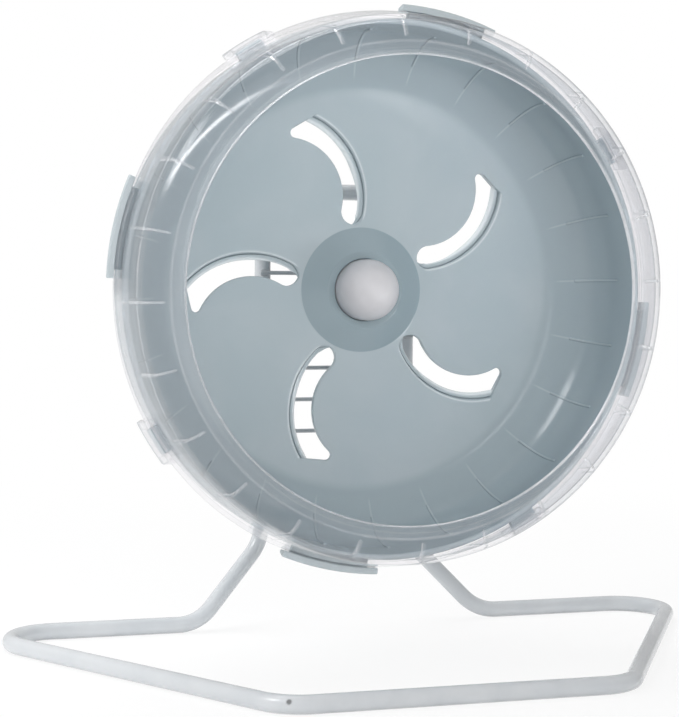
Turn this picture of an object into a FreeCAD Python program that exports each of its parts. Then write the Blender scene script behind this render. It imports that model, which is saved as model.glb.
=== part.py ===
import FreeCAD, Part
import math
import os

# Rodent exercise wheel on a bent-rod floor stand. Millimetres, +Z up, the wheel turns about +Y and
# its open mouth faces -Y. The origin lies on the floor, at the middle of the whole object's box.

# Stand: one steel rod bent into a closed loop, with thin rungs welded across its uprights
ROD_RADIUS = 3.25
BEND_RADIUS = 18.0
UPRIGHT_HALF_GAP = 31.0
UPRIGHT_TOP_Z = 178.5
KNEE_Z = 34.4
FOOT_HALF_SPREAD = 60.0
FOOT_STEP = 11.0
CORNER_HALF_SPREAD = 151.0
FRONT_HALF_WIDTH = 62.3
FRONT_REACH = 155.2
RUNG_RADIUS = 1.0
RUNG_PITCH = 13.0
RUNG_COUNT = 6
RUNG_OVERHANG = 2.0
WELD_SINK = 0.3

# Axle and the two-piece carrier that grips two neighbouring rungs
AXLE_Z = 138.5
AXLE_RADIUS = 4.0
SEAT_CLEARANCE = 0.02
CARRIER_HALF_WIDTH = 15.5
CARRIER_HALF_HEIGHT = 12.5
CARRIER_DEPTH = 6.35
CARRIER_CORNER = 3.0
CLAMP_SPLIT = 0.4
CLAMP_PLATE_DEPTH = 6.0
GROOVE_CLEARANCE = 0.05
NOSE_LENGTH = 4.5
BOLT_HEAD_FLATS = 13.0
BOLT_HEAD_HEIGHT = 5.3
BOLT_WASHER_RADIUS = 8.0
BOLT_WASHER_THICKNESS = 1.6
LOCK_NUT_HEIGHT = 6.5
FRONT_WASHER_THICKNESS = 1.2
BOLT_END_STICKOUT = 1.4
SCREW_RADIUS = 2.0
SCREW_OFFSET = 10.8
SCREW_HEAD_RADIUS = 3.7
SCREW_HEAD_HEIGHT = 2.4
SCREW_SOCKET_FLATS = 2.5
SCREW_NUT_FLATS = 7.0
SCREW_NUT_HEIGHT = 3.0
POCKET_CLEARANCE = 0.15

# Two deep-groove ball bearings of 8 x 22 x 7
BEARING_RADIUS = 11.0
BEARING_WIDTH = 7.0
BEARING_GAP = 7.0
BALL_RADIUS = 1.98
BALL_COUNT = 7
BALL_CIRCLE_RADIUS = 7.5
RACE_CLEARANCE = 0.04
INNER_LAND_RADIUS = 6.05
OUTER_LAND_RADIUS = 9.3
SHIELD_SEAT_RADIUS = 9.8
SHIELD_THICKNESS = 0.4
SHIELD_RECESS = 0.2
SHIELD_RUN_GAP = 0.3
CAGE_HALF_WIDTH = 0.95
CAGE_FRONT = 1.0
CAGE_BACK = 2.7
CAGE_CLEARANCE = 0.1

# Wheel pan: back disc, runway wall, hub, five curved slots
PAN_WALL = 2.2
RUNWAY_RADIUS = 99.6
RUNWAY_FILLET = 21.0
PAN_DEPTH = 39.0
RIM_BEAD_RADIUS = 1.25
HUB_BASE_RADIUS = 24.7
HUB_RISE = 5.05
COLLAR_RADIUS = 15.2
BARREL_RADIUS = 14.5
GUSSET_COUNT = 5
GUSSET_PHASE = 30.0
GUSSET_WIDTH = 2.0
GUSSET_REACH = 9.0
GUSSET_HEIGHT = 14.0
BEARING_SETBACK = 0.55
BEARING_SHOULDER_RADIUS = 9.6
CAP_SEAT_DEPTH = 2.2
BARREL_TAIL = 2.2
CIRCLIP_THICKNESS = 1.0
CIRCLIP_RADIUS = 11.6
CIRCLIP_BORE_RADIUS = 9.9
CIRCLIP_GAP_ANGLE = 44.0
CIRCLIP_GROOVE_CLEARANCE = 0.06
SLOT_COUNT = 5
SLOT_CENTRE_X = -30.5
SLOT_CENTRE_Z = 36.6
SLOT_INNER_RADIUS = 23.6
SLOT_OUTER_RADIUS = 32.2
SLOT_HUB_CLEARANCE = 1.5
SLOT_END_OUTER_ANGLE = 69.5
SLOT_END_INNER_ANGLE = 90.0
SLOT_CORNER = 1.4
RAMP_STEP = 1.0
RAMP_INSET = 3.2
RAMP_DEPTH = 3.2
RAMP_LIP = 1.2
RAMP_BURY = 1.0
RAMP_INNER_RUNOUT = 12.0
RAMP_OUTER_RUNOUT = 3.0
TREAD_COUNT = 24
TREAD_PHASE = 12.5
TREAD_HEIGHT = 0.9
TREAD_WIDTH = 1.2
TREAD_START = 14.5
TREAD_FILLET_ANGLE = 57.0

# Clear front ring with its lip, and the four tabs and four snap loops that hold it on the pan
RING_WALL = 1.8
RING_FIT = 1.4
RING_DEPTH = 34.8
RING_TAPER = 10.0
WHEEL_DEPTH = 69.45
LIP_WIDTH = 20.2
LIP_BEAD_RADIUS = 1.3
LIP_SLOPE = 23.0
RING_CORNER = 6.0
LIP_PLAIN_WIDTH = 6.2
RING_TREAD_STOP = 5.5
FASTENER_COUNT = 4
TAB_PHASE = 12.5
TAB_ANGLE = 20.5
TAB_WEB_ANGLE = 17.0
TAB_THICKNESS = 2.5
TAB_BACK_SLOPE = 1.2
TAB_LENGTH = 5.8
TAB_OVERLAP = 2.4
TAB_GAP = 0.4
EDGE_CLEARANCE = 0.5
TAB_ROUND = 1.2
LOOP_PHASE = 58.2
LOOP_ANGLE = 10.0
LOOP_THICKNESS = 2.0
LOOP_LENGTH = 12.0
LOOP_OVERLAP = 9.3
LOOP_BAR = 2.2
LOOP_POST_ANGLE = 1.8
LOOP_SINK = 0.5
WINDOW_RIM_GAP = 0.3
CATCH_CLEARANCE = 0.45
CATCH_SLOPE = 1.6

# Hub cap
CAP_RADIUS = 12.0
CAP_WALL = 1.8
CAP_NECK = 4.4
CAP_SEAT_CLEARANCE = 0.25
CAP_SKIRT_WALL = 1.4
CAP_SKIRT_CLEARANCE = 0.1

# Stations along the axle, worked forward from the uprights' plane
BURY = 0.4
MOUNT_STACK = CLAMP_SPLIT / 2 + CLAMP_PLATE_DEPTH + BOLT_WASHER_THICKNESS + BOLT_HEAD_HEIGHT
RUNG_SETBACK = ROD_RADIUS + RUNG_RADIUS - WELD_SINK
REAR_REACH = max(MOUNT_STACK - RUNG_SETBACK, ROD_RADIUS)
UPRIGHT_Y = (FRONT_REACH + ROD_RADIUS - REAR_REACH) / 2
FOOT_Y = UPRIGHT_Y - FOOT_STEP
FRONT_RUN_Y = UPRIGHT_Y - FRONT_REACH
RUNG_Y = UPRIGHT_Y - RUNG_SETBACK
CARRIER_BACK_Y = RUNG_Y - CLAMP_SPLIT / 2
CARRIER_FRONT_Y = CARRIER_BACK_Y - CARRIER_DEPTH
PLATE_FRONT_Y = RUNG_Y + CLAMP_SPLIT / 2
PLATE_BACK_Y = PLATE_FRONT_Y + CLAMP_PLATE_DEPTH
REAR_BEARING_Y = CARRIER_FRONT_Y - NOSE_LENGTH - BEARING_WIDTH
FRONT_BEARING_Y = REAR_BEARING_Y - BEARING_GAP - BEARING_WIDTH
DISC_Y = FRONT_BEARING_Y - BEARING_SETBACK
COLLAR_Y = DISC_Y - HUB_RISE
RIM_Y = DISC_Y - PAN_DEPTH
LIP_Y = DISC_Y - WHEEL_DEPTH
RING_BACK_Y = LIP_Y + RING_DEPTH
BARREL_BACK_Y = REAR_BEARING_Y + BEARING_WIDTH + BARREL_TAIL
PAN_RADIUS = RUNWAY_RADIUS + PAN_WALL
RING_RADIUS = PAN_RADIUS + RING_FIT + RING_WALL
MOUTH_RADIUS = RING_RADIUS - LIP_WIDTH
NOSE_RADIUS = INNER_LAND_RADIUS - SHIELD_RUN_GAP / 2


def vec(x, y, z):
    return FreeCAD.Vector(x, y, z)


AXLE_POINT = vec(0, 0, AXLE_Z)
ALONG = vec(0, 1, 0)


def at(radius, y):
    """A point of a turned profile: radius from the axle and station along it."""
    return vec(radius, y, AXLE_Z)


def line(a, b):
    return Part.LineSegment(at(*a), at(*b)).toShape()


def arc(a, middle, b):
    return Part.Arc(at(*a), at(*middle), at(*b)).toShape()


def on_circle(centre, radius, angle):
    """Profile point on a circle, the angle measured from the radius direction towards +Y."""
    turn = math.radians(angle)
    return centre[0] + radius * math.cos(turn), centre[1] + radius * math.sin(turn)


def polygon_edges(points):
    return [line(a, b) for a, b in zip(points, points[1:] + points[:1])]


def rectangle(inner, outer, front, back):
    return polygon_edges([(inner, front), (outer, front), (outer, back), (inner, back)])


def face_of(edges):
    return Part.Face(Part.Wire(Part.__sortEdges__(edges)))


def turned(edges, start=0.0, sweep=360.0):
    """Revolve a closed profile about the axle; angles run clockwise from the top, seen from the mouth."""
    face = face_of(edges)
    if sweep < 360.0:
        face.rotate(AXLE_POINT, ALONG, start - 90.0)
    return face.revolve(AXLE_POINT, ALONG, sweep)


def cylinder(radius, y_from, y_to, x=0.0, z=AXLE_Z):
    return Part.makeCylinder(radius, y_to - y_from, vec(x, y_from, z), ALONG)


def tube(outer, inner, y_from, y_to):
    return cylinder(outer, y_from, y_to).cut(cylinder(inner, y_from, y_to))


def hexagon(flats, y_from, y_to, x=0.0, z=AXLE_Z):
    corner = flats / math.sqrt(3.0)
    turns = [math.radians(60 * k) for k in range(7)]
    points = [vec(x + corner * math.sin(turn), y_from, z + corner * math.cos(turn)) for turn in turns]
    return Part.Face(Part.makePolygon(points)).extrude(vec(0, y_to - y_from, 0))


def spun(shape, angle):
    copy = shape.copy()
    copy.rotate(AXLE_POINT, ALONG, angle)
    return copy


def one_solid(shape):
    return shape.removeSplitter().Solids[0]


def rod_loop():
    """Closed loop of straight rod runs joined by bends of one radius."""
    half = [vec(UPRIGHT_HALF_GAP, UPRIGHT_Y, UPRIGHT_TOP_Z), vec(UPRIGHT_HALF_GAP, UPRIGHT_Y, KNEE_Z),
            vec(FOOT_HALF_SPREAD, FOOT_Y, ROD_RADIUS), vec(CORNER_HALF_SPREAD, FOOT_Y, ROD_RADIUS),
            vec(FRONT_HALF_WIDTH, FRONT_RUN_Y, ROD_RADIUS)]
    points = half + [vec(-p.x, p.y, p.z) for p in reversed(half)]
    count = len(points)
    bends = []
    for k in range(count):
        here = points[k]
        arriving = (here - points[k - 1]).normalize()
        leaving = (points[(k + 1) % count] - here).normalize()
        turn = arriving.getAngle(leaving)
        reach = BEND_RADIUS * math.tan(turn / 2)
        start = here - arriving * reach
        axis = arriving.cross(leaving).normalize()
        centre = start + axis.cross(arriving) * BEND_RADIUS
        section = Part.Face(Part.Wire(Part.makeCircle(ROD_RADIUS, start, arriving)))
        bends.append((start, here + leaving * reach, section.revolve(centre, axis, math.degrees(turn))))
    pieces = [bend[2] for bend in bends]
    for k in range(count):
        run_from = bends[k - 1][1]
        run = bends[k][0] - run_from
        pieces.append(Part.makeCylinder(ROD_RADIUS, run.Length, run_from, run))
    return one_solid(pieces[0].multiFuse(pieces[1:]))


def rung_heights():
    """The two highest rungs straddle the axle; the rest step down at the same pitch."""
    return [AXLE_Z + RUNG_PITCH / 2 - RUNG_PITCH * k for k in range(RUNG_COUNT)]


def rung(radius, half_length, z):
    return Part.makeCylinder(radius, 2 * half_length, vec(-half_length, RUNG_Y, z), vec(1, 0, 0))


def cross_rungs():
    half = UPRIGHT_HALF_GAP + RUNG_OVERHANG
    return Part.makeCompound([rung(RUNG_RADIUS, half, z) for z in rung_heights()])


def rung_grooves():
    """The wires that the carrier halves close on, with their clearance."""
    radius = RUNG_RADIUS + GROOVE_CLEARANCE
    return [rung(radius, CARRIER_HALF_WIDTH + BURY, z) for z in rung_heights()[:2]]


def carrier_block(y_from, y_to):
    """Rounded rectangular block centred on the axle."""
    block = Part.makeBox(2 * CARRIER_HALF_WIDTH, y_to - y_from, 2 * CARRIER_HALF_HEIGHT,
                         vec(-CARRIER_HALF_WIDTH, y_from, AXLE_Z - CARRIER_HALF_HEIGHT))
    upright_edges = [e for e in block.Edges if abs(e.tangentAt(e.FirstParameter).y) > 0.9]
    return block.makeFillet(CARRIER_CORNER, upright_edges)


def screw_places():
    return (-SCREW_OFFSET, SCREW_OFFSET)


def axle_carrier():
    body = carrier_block(CARRIER_FRONT_Y, CARRIER_BACK_Y)
    body = body.fuse(cylinder(NOSE_RADIUS, CARRIER_FRONT_Y - NOSE_LENGTH, CARRIER_FRONT_Y + BURY))
    front = CARRIER_FRONT_Y - BURY
    back = CARRIER_BACK_Y + BURY
    cuts = rung_grooves()
    cuts.append(cylinder(AXLE_RADIUS + SEAT_CLEARANCE, front - NOSE_LENGTH, back))
    for x in screw_places():
        cuts.append(cylinder(SCREW_RADIUS + POCKET_CLEARANCE, front, back, x))
        cuts.append(hexagon(SCREW_NUT_FLATS + 2 * POCKET_CLEARANCE, front,
                            CARRIER_FRONT_Y + SCREW_NUT_HEIGHT, x))
    return one_solid(body.cut(cuts))


def clamp_plate():
    body = carrier_block(PLATE_FRONT_Y, PLATE_BACK_Y)
    cuts = rung_grooves()
    cuts.append(cylinder(AXLE_RADIUS + SEAT_CLEARANCE, PLATE_FRONT_Y - BURY, PLATE_BACK_Y + BURY))
    for x in screw_places():
        cuts.append(cylinder(SCREW_RADIUS + POCKET_CLEARANCE, PLATE_FRONT_Y - BURY, PLATE_BACK_Y + BURY, x))
        cuts.append(cylinder(SCREW_HEAD_RADIUS + POCKET_CLEARANCE, PLATE_BACK_Y - SCREW_HEAD_HEIGHT,
                             PLATE_BACK_Y + BURY, x))
    return one_solid(body.cut(cuts))


def clamp_screws():
    screws = []
    for x in screw_places():
        shank = cylinder(SCREW_RADIUS, CARRIER_FRONT_Y, PLATE_BACK_Y - SCREW_HEAD_HEIGHT / 2, x)
        head = cylinder(SCREW_HEAD_RADIUS, PLATE_BACK_Y - SCREW_HEAD_HEIGHT, PLATE_BACK_Y, x)
        socket = hexagon(SCREW_SOCKET_FLATS, PLATE_BACK_Y - SCREW_HEAD_HEIGHT / 2, PLATE_BACK_Y + BURY, x)
        screws.append(one_solid(shank.fuse(head).cut(socket)))
    return Part.makeCompound(screws)


def clamp_nuts():
    nuts = []
    for x in screw_places():
        nut = hexagon(SCREW_NUT_FLATS, CARRIER_FRONT_Y, CARRIER_FRONT_Y + SCREW_NUT_HEIGHT, x)
        bore = cylinder(SCREW_RADIUS + SEAT_CLEARANCE, CARRIER_FRONT_Y - BURY,
                        CARRIER_FRONT_Y + SCREW_NUT_HEIGHT + BURY, x)
        nuts.append(nut.cut(bore))
    return Part.makeCompound(nuts)


FRONT_WASHER_Y = FRONT_BEARING_Y - FRONT_WASHER_THICKNESS
LOCK_NUT_Y = FRONT_WASHER_Y - LOCK_NUT_HEIGHT
BOLT_HEAD_Y = PLATE_BACK_Y + BOLT_WASHER_THICKNESS


def axle_bolt():
    shank = cylinder(AXLE_RADIUS, LOCK_NUT_Y - BOLT_END_STICKOUT, BOLT_HEAD_Y + BURY)
    head = hexagon(BOLT_HEAD_FLATS, BOLT_HEAD_Y, BOLT_HEAD_Y + BOLT_HEAD_HEIGHT)
    rounding = Part.makeCone(BOLT_HEAD_FLATS / 2 + BOLT_HEAD_HEIGHT, BOLT_HEAD_FLATS / 2,
                             BOLT_HEAD_HEIGHT, vec(0, BOLT_HEAD_Y, AXLE_Z), ALONG)
    return one_solid(shank.fuse(head.common(rounding)))


def axle_ring(outer, y_from, y_to):
    """A washer or sleeve slipped over the axle."""
    return tube(outer, AXLE_RADIUS + SEAT_CLEARANCE, y_from, y_to)


def lock_nut():
    body = hexagon(BOLT_HEAD_FLATS, LOCK_NUT_Y, FRONT_WASHER_Y)
    collar = Part.makeCone(BOLT_HEAD_FLATS / 2, BOLT_HEAD_FLATS / 2 + LOCK_NUT_HEIGHT, LOCK_NUT_HEIGHT,
                           vec(0, LOCK_NUT_Y, AXLE_Z), ALONG)
    bore = cylinder(AXLE_RADIUS + SEAT_CLEARANCE, LOCK_NUT_Y - BURY, FRONT_WASHER_Y + BURY)
    return one_solid(body.common(collar).cut(bore))


def ball_places(bearing_y):
    middle = bearing_y + BEARING_WIDTH / 2
    for k in range(BALL_COUNT):
        turn = 2 * math.pi * k / BALL_COUNT
        yield vec(BALL_CIRCLE_RADIUS * math.sin(turn), middle, AXLE_Z + BALL_CIRCLE_RADIUS * math.cos(turn))


def race_groove(bearing_y):
    return Part.makeTorus(BALL_CIRCLE_RADIUS, BALL_RADIUS + RACE_CLEARANCE,
                          vec(0, bearing_y + BEARING_WIDTH / 2, AXLE_Z), ALONG)


def bearing_inner_ring(bearing_y):
    ring = tube(INNER_LAND_RADIUS, AXLE_RADIUS + SEAT_CLEARANCE, bearing_y, bearing_y + BEARING_WIDTH)
    return one_solid(ring.cut(race_groove(bearing_y)))


def shield_seats(bearing_y):
    depth = SHIELD_RECESS + SHIELD_THICKNESS
    return ((bearing_y, bearing_y + depth), (bearing_y + BEARING_WIDTH - depth, bearing_y + BEARING_WIDTH))


def bearing_outer_ring(bearing_y):
    ring = tube(BEARING_RADIUS - SEAT_CLEARANCE, OUTER_LAND_RADIUS, bearing_y, bearing_y + BEARING_WIDTH)
    seats = [cylinder(SHIELD_SEAT_RADIUS, low, high) for low, high in shield_seats(bearing_y)]
    return one_solid(ring.cut([race_groove(bearing_y)] + seats))


def bearing_shields(bearing_y):
    outer = SHIELD_SEAT_RADIUS - SEAT_CLEARANCE
    inner = INNER_LAND_RADIUS + SHIELD_RUN_GAP
    front = bearing_y + SHIELD_RECESS
    back = bearing_y + BEARING_WIDTH - SHIELD_RECESS - SHIELD_THICKNESS
    return Part.makeCompound([tube(outer, inner, y, y + SHIELD_THICKNESS) for y in (front, back)])


def bearing_balls(bearing_y):
    return Part.makeCompound([Part.makeSphere(BALL_RADIUS, place) for place in ball_places(bearing_y)])


def bearing_cage(bearing_y):
    """Crown cage: a ring whose fingers stand between the balls."""
    middle = bearing_y + BEARING_WIDTH / 2
    ring = tube(BALL_CIRCLE_RADIUS + CAGE_HALF_WIDTH, BALL_CIRCLE_RADIUS - CAGE_HALF_WIDTH,
                middle - CAGE_FRONT, middle + CAGE_BACK)
    hub = vec(0, middle, AXLE_Z)
    pockets = [Part.makeCylinder(BALL_RADIUS + CAGE_CLEARANCE, 2 * BALL_CIRCLE_RADIUS, hub, place - hub)
               for place in ball_places(bearing_y)]
    return one_solid(ring.cut(pockets))


def bearing_circlip():
    """Internal retaining ring, open at its eyes, behind the rear bearing."""
    front = REAR_BEARING_Y + BEARING_WIDTH + CIRCLIP_GROOVE_CLEARANCE
    back = front + CIRCLIP_THICKNESS
    profile = rectangle(CIRCLIP_BORE_RADIUS, CIRCLIP_RADIUS, front, back)
    return turned(profile, CIRCLIP_GAP_ANGLE / 2, 360.0 - CIRCLIP_GAP_ANGLE)


def pan_shell():
    """Runway wall, back disc, hub cone and bearing barrel as one turned profile."""
    fillet_centre = (RUNWAY_RADIUS - RUNWAY_FILLET, DISC_Y - RUNWAY_FILLET)
    outer_fillet = RUNWAY_FILLET + PAN_WALL
    disc_back = DISC_Y + PAN_WALL
    seat_radius = CAP_RADIUS + CAP_SEAT_CLEARANCE
    seat_y = COLLAR_Y + CAP_SEAT_DEPTH
    groove_y = REAR_BEARING_Y + BEARING_WIDTH
    groove_end = groove_y + CIRCLIP_THICKNESS + 2 * CIRCLIP_GROOVE_CLEARANCE
    groove_radius = CIRCLIP_RADIUS + CIRCLIP_GROOVE_CLEARANCE
    rim_middle = (RUNWAY_RADIUS + PAN_RADIUS) / 2
    inside_wall = (RUNWAY_RADIUS, RIM_Y + PAN_WALL / 2)
    outside_wall = (PAN_RADIUS, RIM_Y + PAN_WALL / 2)
    inside_tangent = (RUNWAY_RADIUS, fillet_centre[1])
    outside_tangent = (PAN_RADIUS, fillet_centre[1])
    disc_front_edge = (fillet_centre[0], DISC_Y)
    disc_back_edge = (fillet_centre[0], disc_back)
    hub_inside = [disc_front_edge, (HUB_BASE_RADIUS, DISC_Y), (COLLAR_RADIUS, COLLAR_Y),
                  (seat_radius, COLLAR_Y), (seat_radius, seat_y), (BEARING_RADIUS, seat_y),
                  (BEARING_RADIUS, FRONT_BEARING_Y + BEARING_WIDTH),
                  (BEARING_SHOULDER_RADIUS, FRONT_BEARING_Y + BEARING_WIDTH),
                  (BEARING_SHOULDER_RADIUS, REAR_BEARING_Y), (BEARING_RADIUS, REAR_BEARING_Y),
                  (BEARING_RADIUS, groove_y), (groove_radius, groove_y), (groove_radius, groove_end),
                  (BEARING_RADIUS, groove_end), (BEARING_RADIUS, BARREL_BACK_Y),
                  (BARREL_RADIUS, BARREL_BACK_Y), (BARREL_RADIUS, disc_back), disc_back_edge]
    edges = [arc(outside_wall, (rim_middle, RIM_Y), inside_wall), line(inside_wall, inside_tangent),
             arc(inside_tangent, on_circle(fillet_centre, RUNWAY_FILLET, 45), disc_front_edge)]
    edges += [line(a, b) for a, b in zip(hub_inside, hub_inside[1:])]
    edges += [arc(disc_back_edge, on_circle(fillet_centre, outer_fillet, 45), outside_tangent),
              line(outside_tangent, outside_wall)]
    bead = Part.makeTorus(PAN_RADIUS - RIM_BEAD_RADIUS + TAB_GAP / 2, RIM_BEAD_RADIUS,
                          vec(0, RIM_Y + PAN_WALL, AXLE_Z), ALONG)
    return turned(edges).fuse(bead.cut(cylinder(RUNWAY_RADIUS + PAN_WALL / 2, RIM_Y, RIM_Y + 2 * PAN_WALL)))


def pan_tread():
    """One low grip rib along the runway wall and round the fillet, at the three-o'clock place."""
    centre = (RUNWAY_RADIUS - RUNWAY_FILLET, DISC_Y - RUNWAY_FILLET)
    outer = RUNWAY_FILLET + BURY
    inner = RUNWAY_FILLET - TREAD_HEIGHT
    start_y = RIM_Y + TREAD_START
    low_start = (centre[0] + outer, start_y)
    high_start = (centre[0] + inner, start_y + TREAD_HEIGHT)
    middle = TREAD_FILLET_ANGLE / 2
    edges = [line(low_start, on_circle(centre, outer, 0)),
             arc(on_circle(centre, outer, 0), on_circle(centre, outer, middle),
                 on_circle(centre, outer, TREAD_FILLET_ANGLE)),
             line(on_circle(centre, outer, TREAD_FILLET_ANGLE), on_circle(centre, inner, TREAD_FILLET_ANGLE)),
             arc(on_circle(centre, inner, TREAD_FILLET_ANGLE), on_circle(centre, inner, middle),
                 on_circle(centre, inner, 0)),
             line(on_circle(centre, inner, 0), high_start),
             line(high_start, low_start)]
    rib = face_of(edges).extrude(vec(0, 0, TREAD_WIDTH))
    rib.translate(vec(0, 0, -TREAD_WIDTH / 2))
    return rib


def hub_gusset():
    """Triangular web between the barrel and the back of the disc, at the three-o'clock place."""
    disc_back = DISC_Y + PAN_WALL
    corner = BARREL_RADIUS - BURY
    section = [(corner, disc_back - BURY), (BARREL_RADIUS + GUSSET_REACH, disc_back - BURY),
               (BARREL_RADIUS + GUSSET_REACH, disc_back), (BARREL_RADIUS, disc_back + GUSSET_HEIGHT),
               (corner, disc_back + GUSSET_HEIGHT)]
    web = face_of(polygon_edges(section)).extrude(vec(0, 0, GUSSET_WIDTH))
    web.translate(vec(0, 0, -GUSSET_WIDTH / 2))
    return web


def tread_set(rib):
    step = 360.0 / TREAD_COUNT
    return [spun(rib, TREAD_PHASE + step * k - 90.0) for k in range(TREAD_COUNT)]


def slot_point(radius, angle):
    turn = math.radians(angle)
    return vec(SLOT_CENTRE_X + radius * math.cos(turn), 0, AXLE_Z + SLOT_CENTRE_Z + radius * math.sin(turn))


def slot_start_angle():
    """Angle on the slot's own arc where its round end comes SLOT_HUB_CLEARANCE from the hub's cone."""
    middle = (SLOT_INNER_RADIUS + SLOT_OUTER_RADIUS) / 2
    reach = HUB_BASE_RADIUS + SLOT_HUB_CLEARANCE + (SLOT_OUTER_RADIUS - SLOT_INNER_RADIUS) / 2
    centre = math.hypot(SLOT_CENTRE_X, SLOT_CENTRE_Z)
    cosine = (reach ** 2 - centre ** 2 - middle ** 2) / (2 * centre * middle)
    return math.degrees(math.atan2(SLOT_CENTRE_Z, SLOT_CENTRE_X) - math.acos(cosine))


def slot_cutter():
    """Curved slot: two arcs about one centre, a round inner end and a slanted outer end."""
    start = slot_start_angle()
    middle = (SLOT_INNER_RADIUS + SLOT_OUTER_RADIUS) / 2
    half = (SLOT_OUTER_RADIUS - SLOT_INNER_RADIUS) / 2
    end_centre = slot_point(middle, start)
    turn = math.radians(start - 90.0)
    tip = end_centre + vec(half * math.cos(turn), 0, half * math.sin(turn))
    outer_start = slot_point(SLOT_OUTER_RADIUS, start)
    outer_middle = slot_point(SLOT_OUTER_RADIUS, (start + SLOT_END_OUTER_ANGLE) / 2)
    outer_end = slot_point(SLOT_OUTER_RADIUS, SLOT_END_OUTER_ANGLE)
    inner_end = slot_point(SLOT_INNER_RADIUS, SLOT_END_INNER_ANGLE)
    inner_middle = slot_point(SLOT_INNER_RADIUS, (start + SLOT_END_INNER_ANGLE) / 2)
    inner_start = slot_point(SLOT_INNER_RADIUS, start)
    outline = [Part.Arc(outer_start, outer_middle, outer_end).toShape(),
               Part.LineSegment(outer_end, inner_end).toShape(),
               Part.Arc(inner_end, inner_middle, inner_start).toShape(),
               Part.Arc(inner_start, tip, outer_start).toShape()]
    prism = Part.Face(Part.Wire(outline)).extrude(vec(0, PAN_WALL + 2 * BURY, 0))
    prism.translate(vec(0, DISC_Y - BURY, 0))
    ends = (outer_end, inner_end)
    corners = [e for e in prism.Edges if len(e.Vertexes) == 2 and abs(e.tangentAt(e.FirstParameter).y) > 0.9
               and min(math.hypot(e.Vertexes[0].X - p.x, e.Vertexes[0].Z - p.z) for p in ends) < BURY]
    return prism.makeFillet(SLOT_CORNER, corners)


def slot_ramp():
    """Sloped lip that turns back behind the slot's outer edge."""
    centre = vec(SLOT_CENTRE_X, 0, AXLE_Z + SLOT_CENTRE_Z)
    edge = SLOT_OUTER_RADIUS
    tip = edge - RAMP_INSET
    disc_back = DISC_Y + PAN_WALL
    step_y = DISC_Y + RAMP_STEP
    lip_back = DISC_Y + RAMP_DEPTH + RAMP_LIP
    section = [(edge, step_y), (tip, DISC_Y + RAMP_DEPTH), (tip, lip_back), (tip + RAMP_LIP, lip_back),
               (edge + RAMP_BURY, disc_back), (edge + RAMP_BURY, step_y)]
    points = [vec(centre.x + radius, y, centre.z) for radius, y in section]
    face = Part.Face(Part.makePolygon(points + points[:1]))
    start = slot_start_angle() - RAMP_INNER_RUNOUT
    face.rotate(centre, ALONG, -start)
    return face.revolve(centre, ALONG, start - SLOT_END_OUTER_ANGLE - RAMP_OUTER_RUNOUT)


def ring_edge_radius(y):
    """Outside radius of the clear ring's wall at a station along the axle."""
    return RING_RADIUS - (RING_BACK_Y - y) * math.tan(math.radians(RING_TAPER))


def ring_tab():
    """Hook on the pan that reaches round the ring's back edge, rounded at its ends."""
    under = RING_RADIUS + TAB_GAP
    over = under + TAB_THICKNESS
    front = RING_BACK_Y - TAB_OVERLAP
    back = front + TAB_LENGTH
    web_front = RING_BACK_Y + EDGE_CLEARANCE
    profile = polygon_edges([(under, front), (over, front), (over - TAB_BACK_SLOPE, back), (under, back)])
    lip = turned(profile, TAB_PHASE - TAB_ANGLE / 2, TAB_ANGLE)
    ends = [e for e in lip.Edges
            if e.Curve.TypeId == "Part::GeomLine" and abs(e.tangentAt(e.FirstParameter).y) < 0.1]
    lip = lip.makeFillet(TAB_ROUND, ends)
    web = turned(rectangle(PAN_RADIUS - BURY, under + BURY, web_front, back),
                 TAB_PHASE - TAB_WEB_ANGLE / 2, TAB_WEB_ANGLE)
    return lip.fuse(web)


LOOP_FRONT_Y = RING_BACK_Y - LOOP_OVERLAP
LOOP_BACK_Y = LOOP_FRONT_Y + LOOP_LENGTH
WINDOW_FRONT_Y = RIM_Y + WINDOW_RIM_GAP
WINDOW_BACK_Y = LOOP_BACK_Y - LOOP_BAR
WINDOW_ANGLE = LOOP_ANGLE - 2 * LOOP_POST_ANGLE


def ring_catch():
    """Wedge on the pan that stands in a snap loop's window."""
    front = WINDOW_FRONT_Y + CATCH_CLEARANCE
    back = WINDOW_BACK_Y - CATCH_CLEARANCE
    foot = PAN_RADIUS - BURY
    top = ring_edge_radius(front) + LOOP_THICKNESS - LOOP_SINK
    spare = math.degrees(CATCH_CLEARANCE / RING_RADIUS)
    profile = polygon_edges([(foot, front), (top - CATCH_SLOPE, front), (top, front + CATCH_SLOPE),
                             (top, back), (foot, back)])
    return turned(profile, LOOP_PHASE - WINDOW_ANGLE / 2 + spare, WINDOW_ANGLE - 2 * spare)


def wheel_pan():
    step = 360.0 / FASTENER_COUNT
    added = tread_set(pan_tread())
    for k in range(FASTENER_COUNT):
        added.append(spun(ring_tab(), step * k))
        added.append(spun(ring_catch(), step * k))
    added += [spun(hub_gusset(), GUSSET_PHASE + 360.0 / GUSSET_COUNT * k - 90.0) for k in range(GUSSET_COUNT)]
    body = pan_shell().multiFuse(added)
    turns = [360.0 / SLOT_COUNT * k for k in range(SLOT_COUNT)]
    slotted = body.cut([spun(slot_cutter(), turn) for turn in turns])
    return one_solid(slotted.multiFuse([spun(slot_ramp(), turn) for turn in turns]))


def ring_corner():
    """Where the lip's slope would meet the wall, on the outside of the ring."""
    slope = math.tan(math.radians(LIP_SLOPE))
    taper = math.tan(math.radians(RING_TAPER))
    start = MOUTH_RADIUS + LIP_BEAD_RADIUS
    radius = (RING_RADIUS - taper * (RING_DEPTH + start * slope)) / (1 - taper * slope)
    return radius, LIP_Y + (radius - start) * slope


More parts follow.
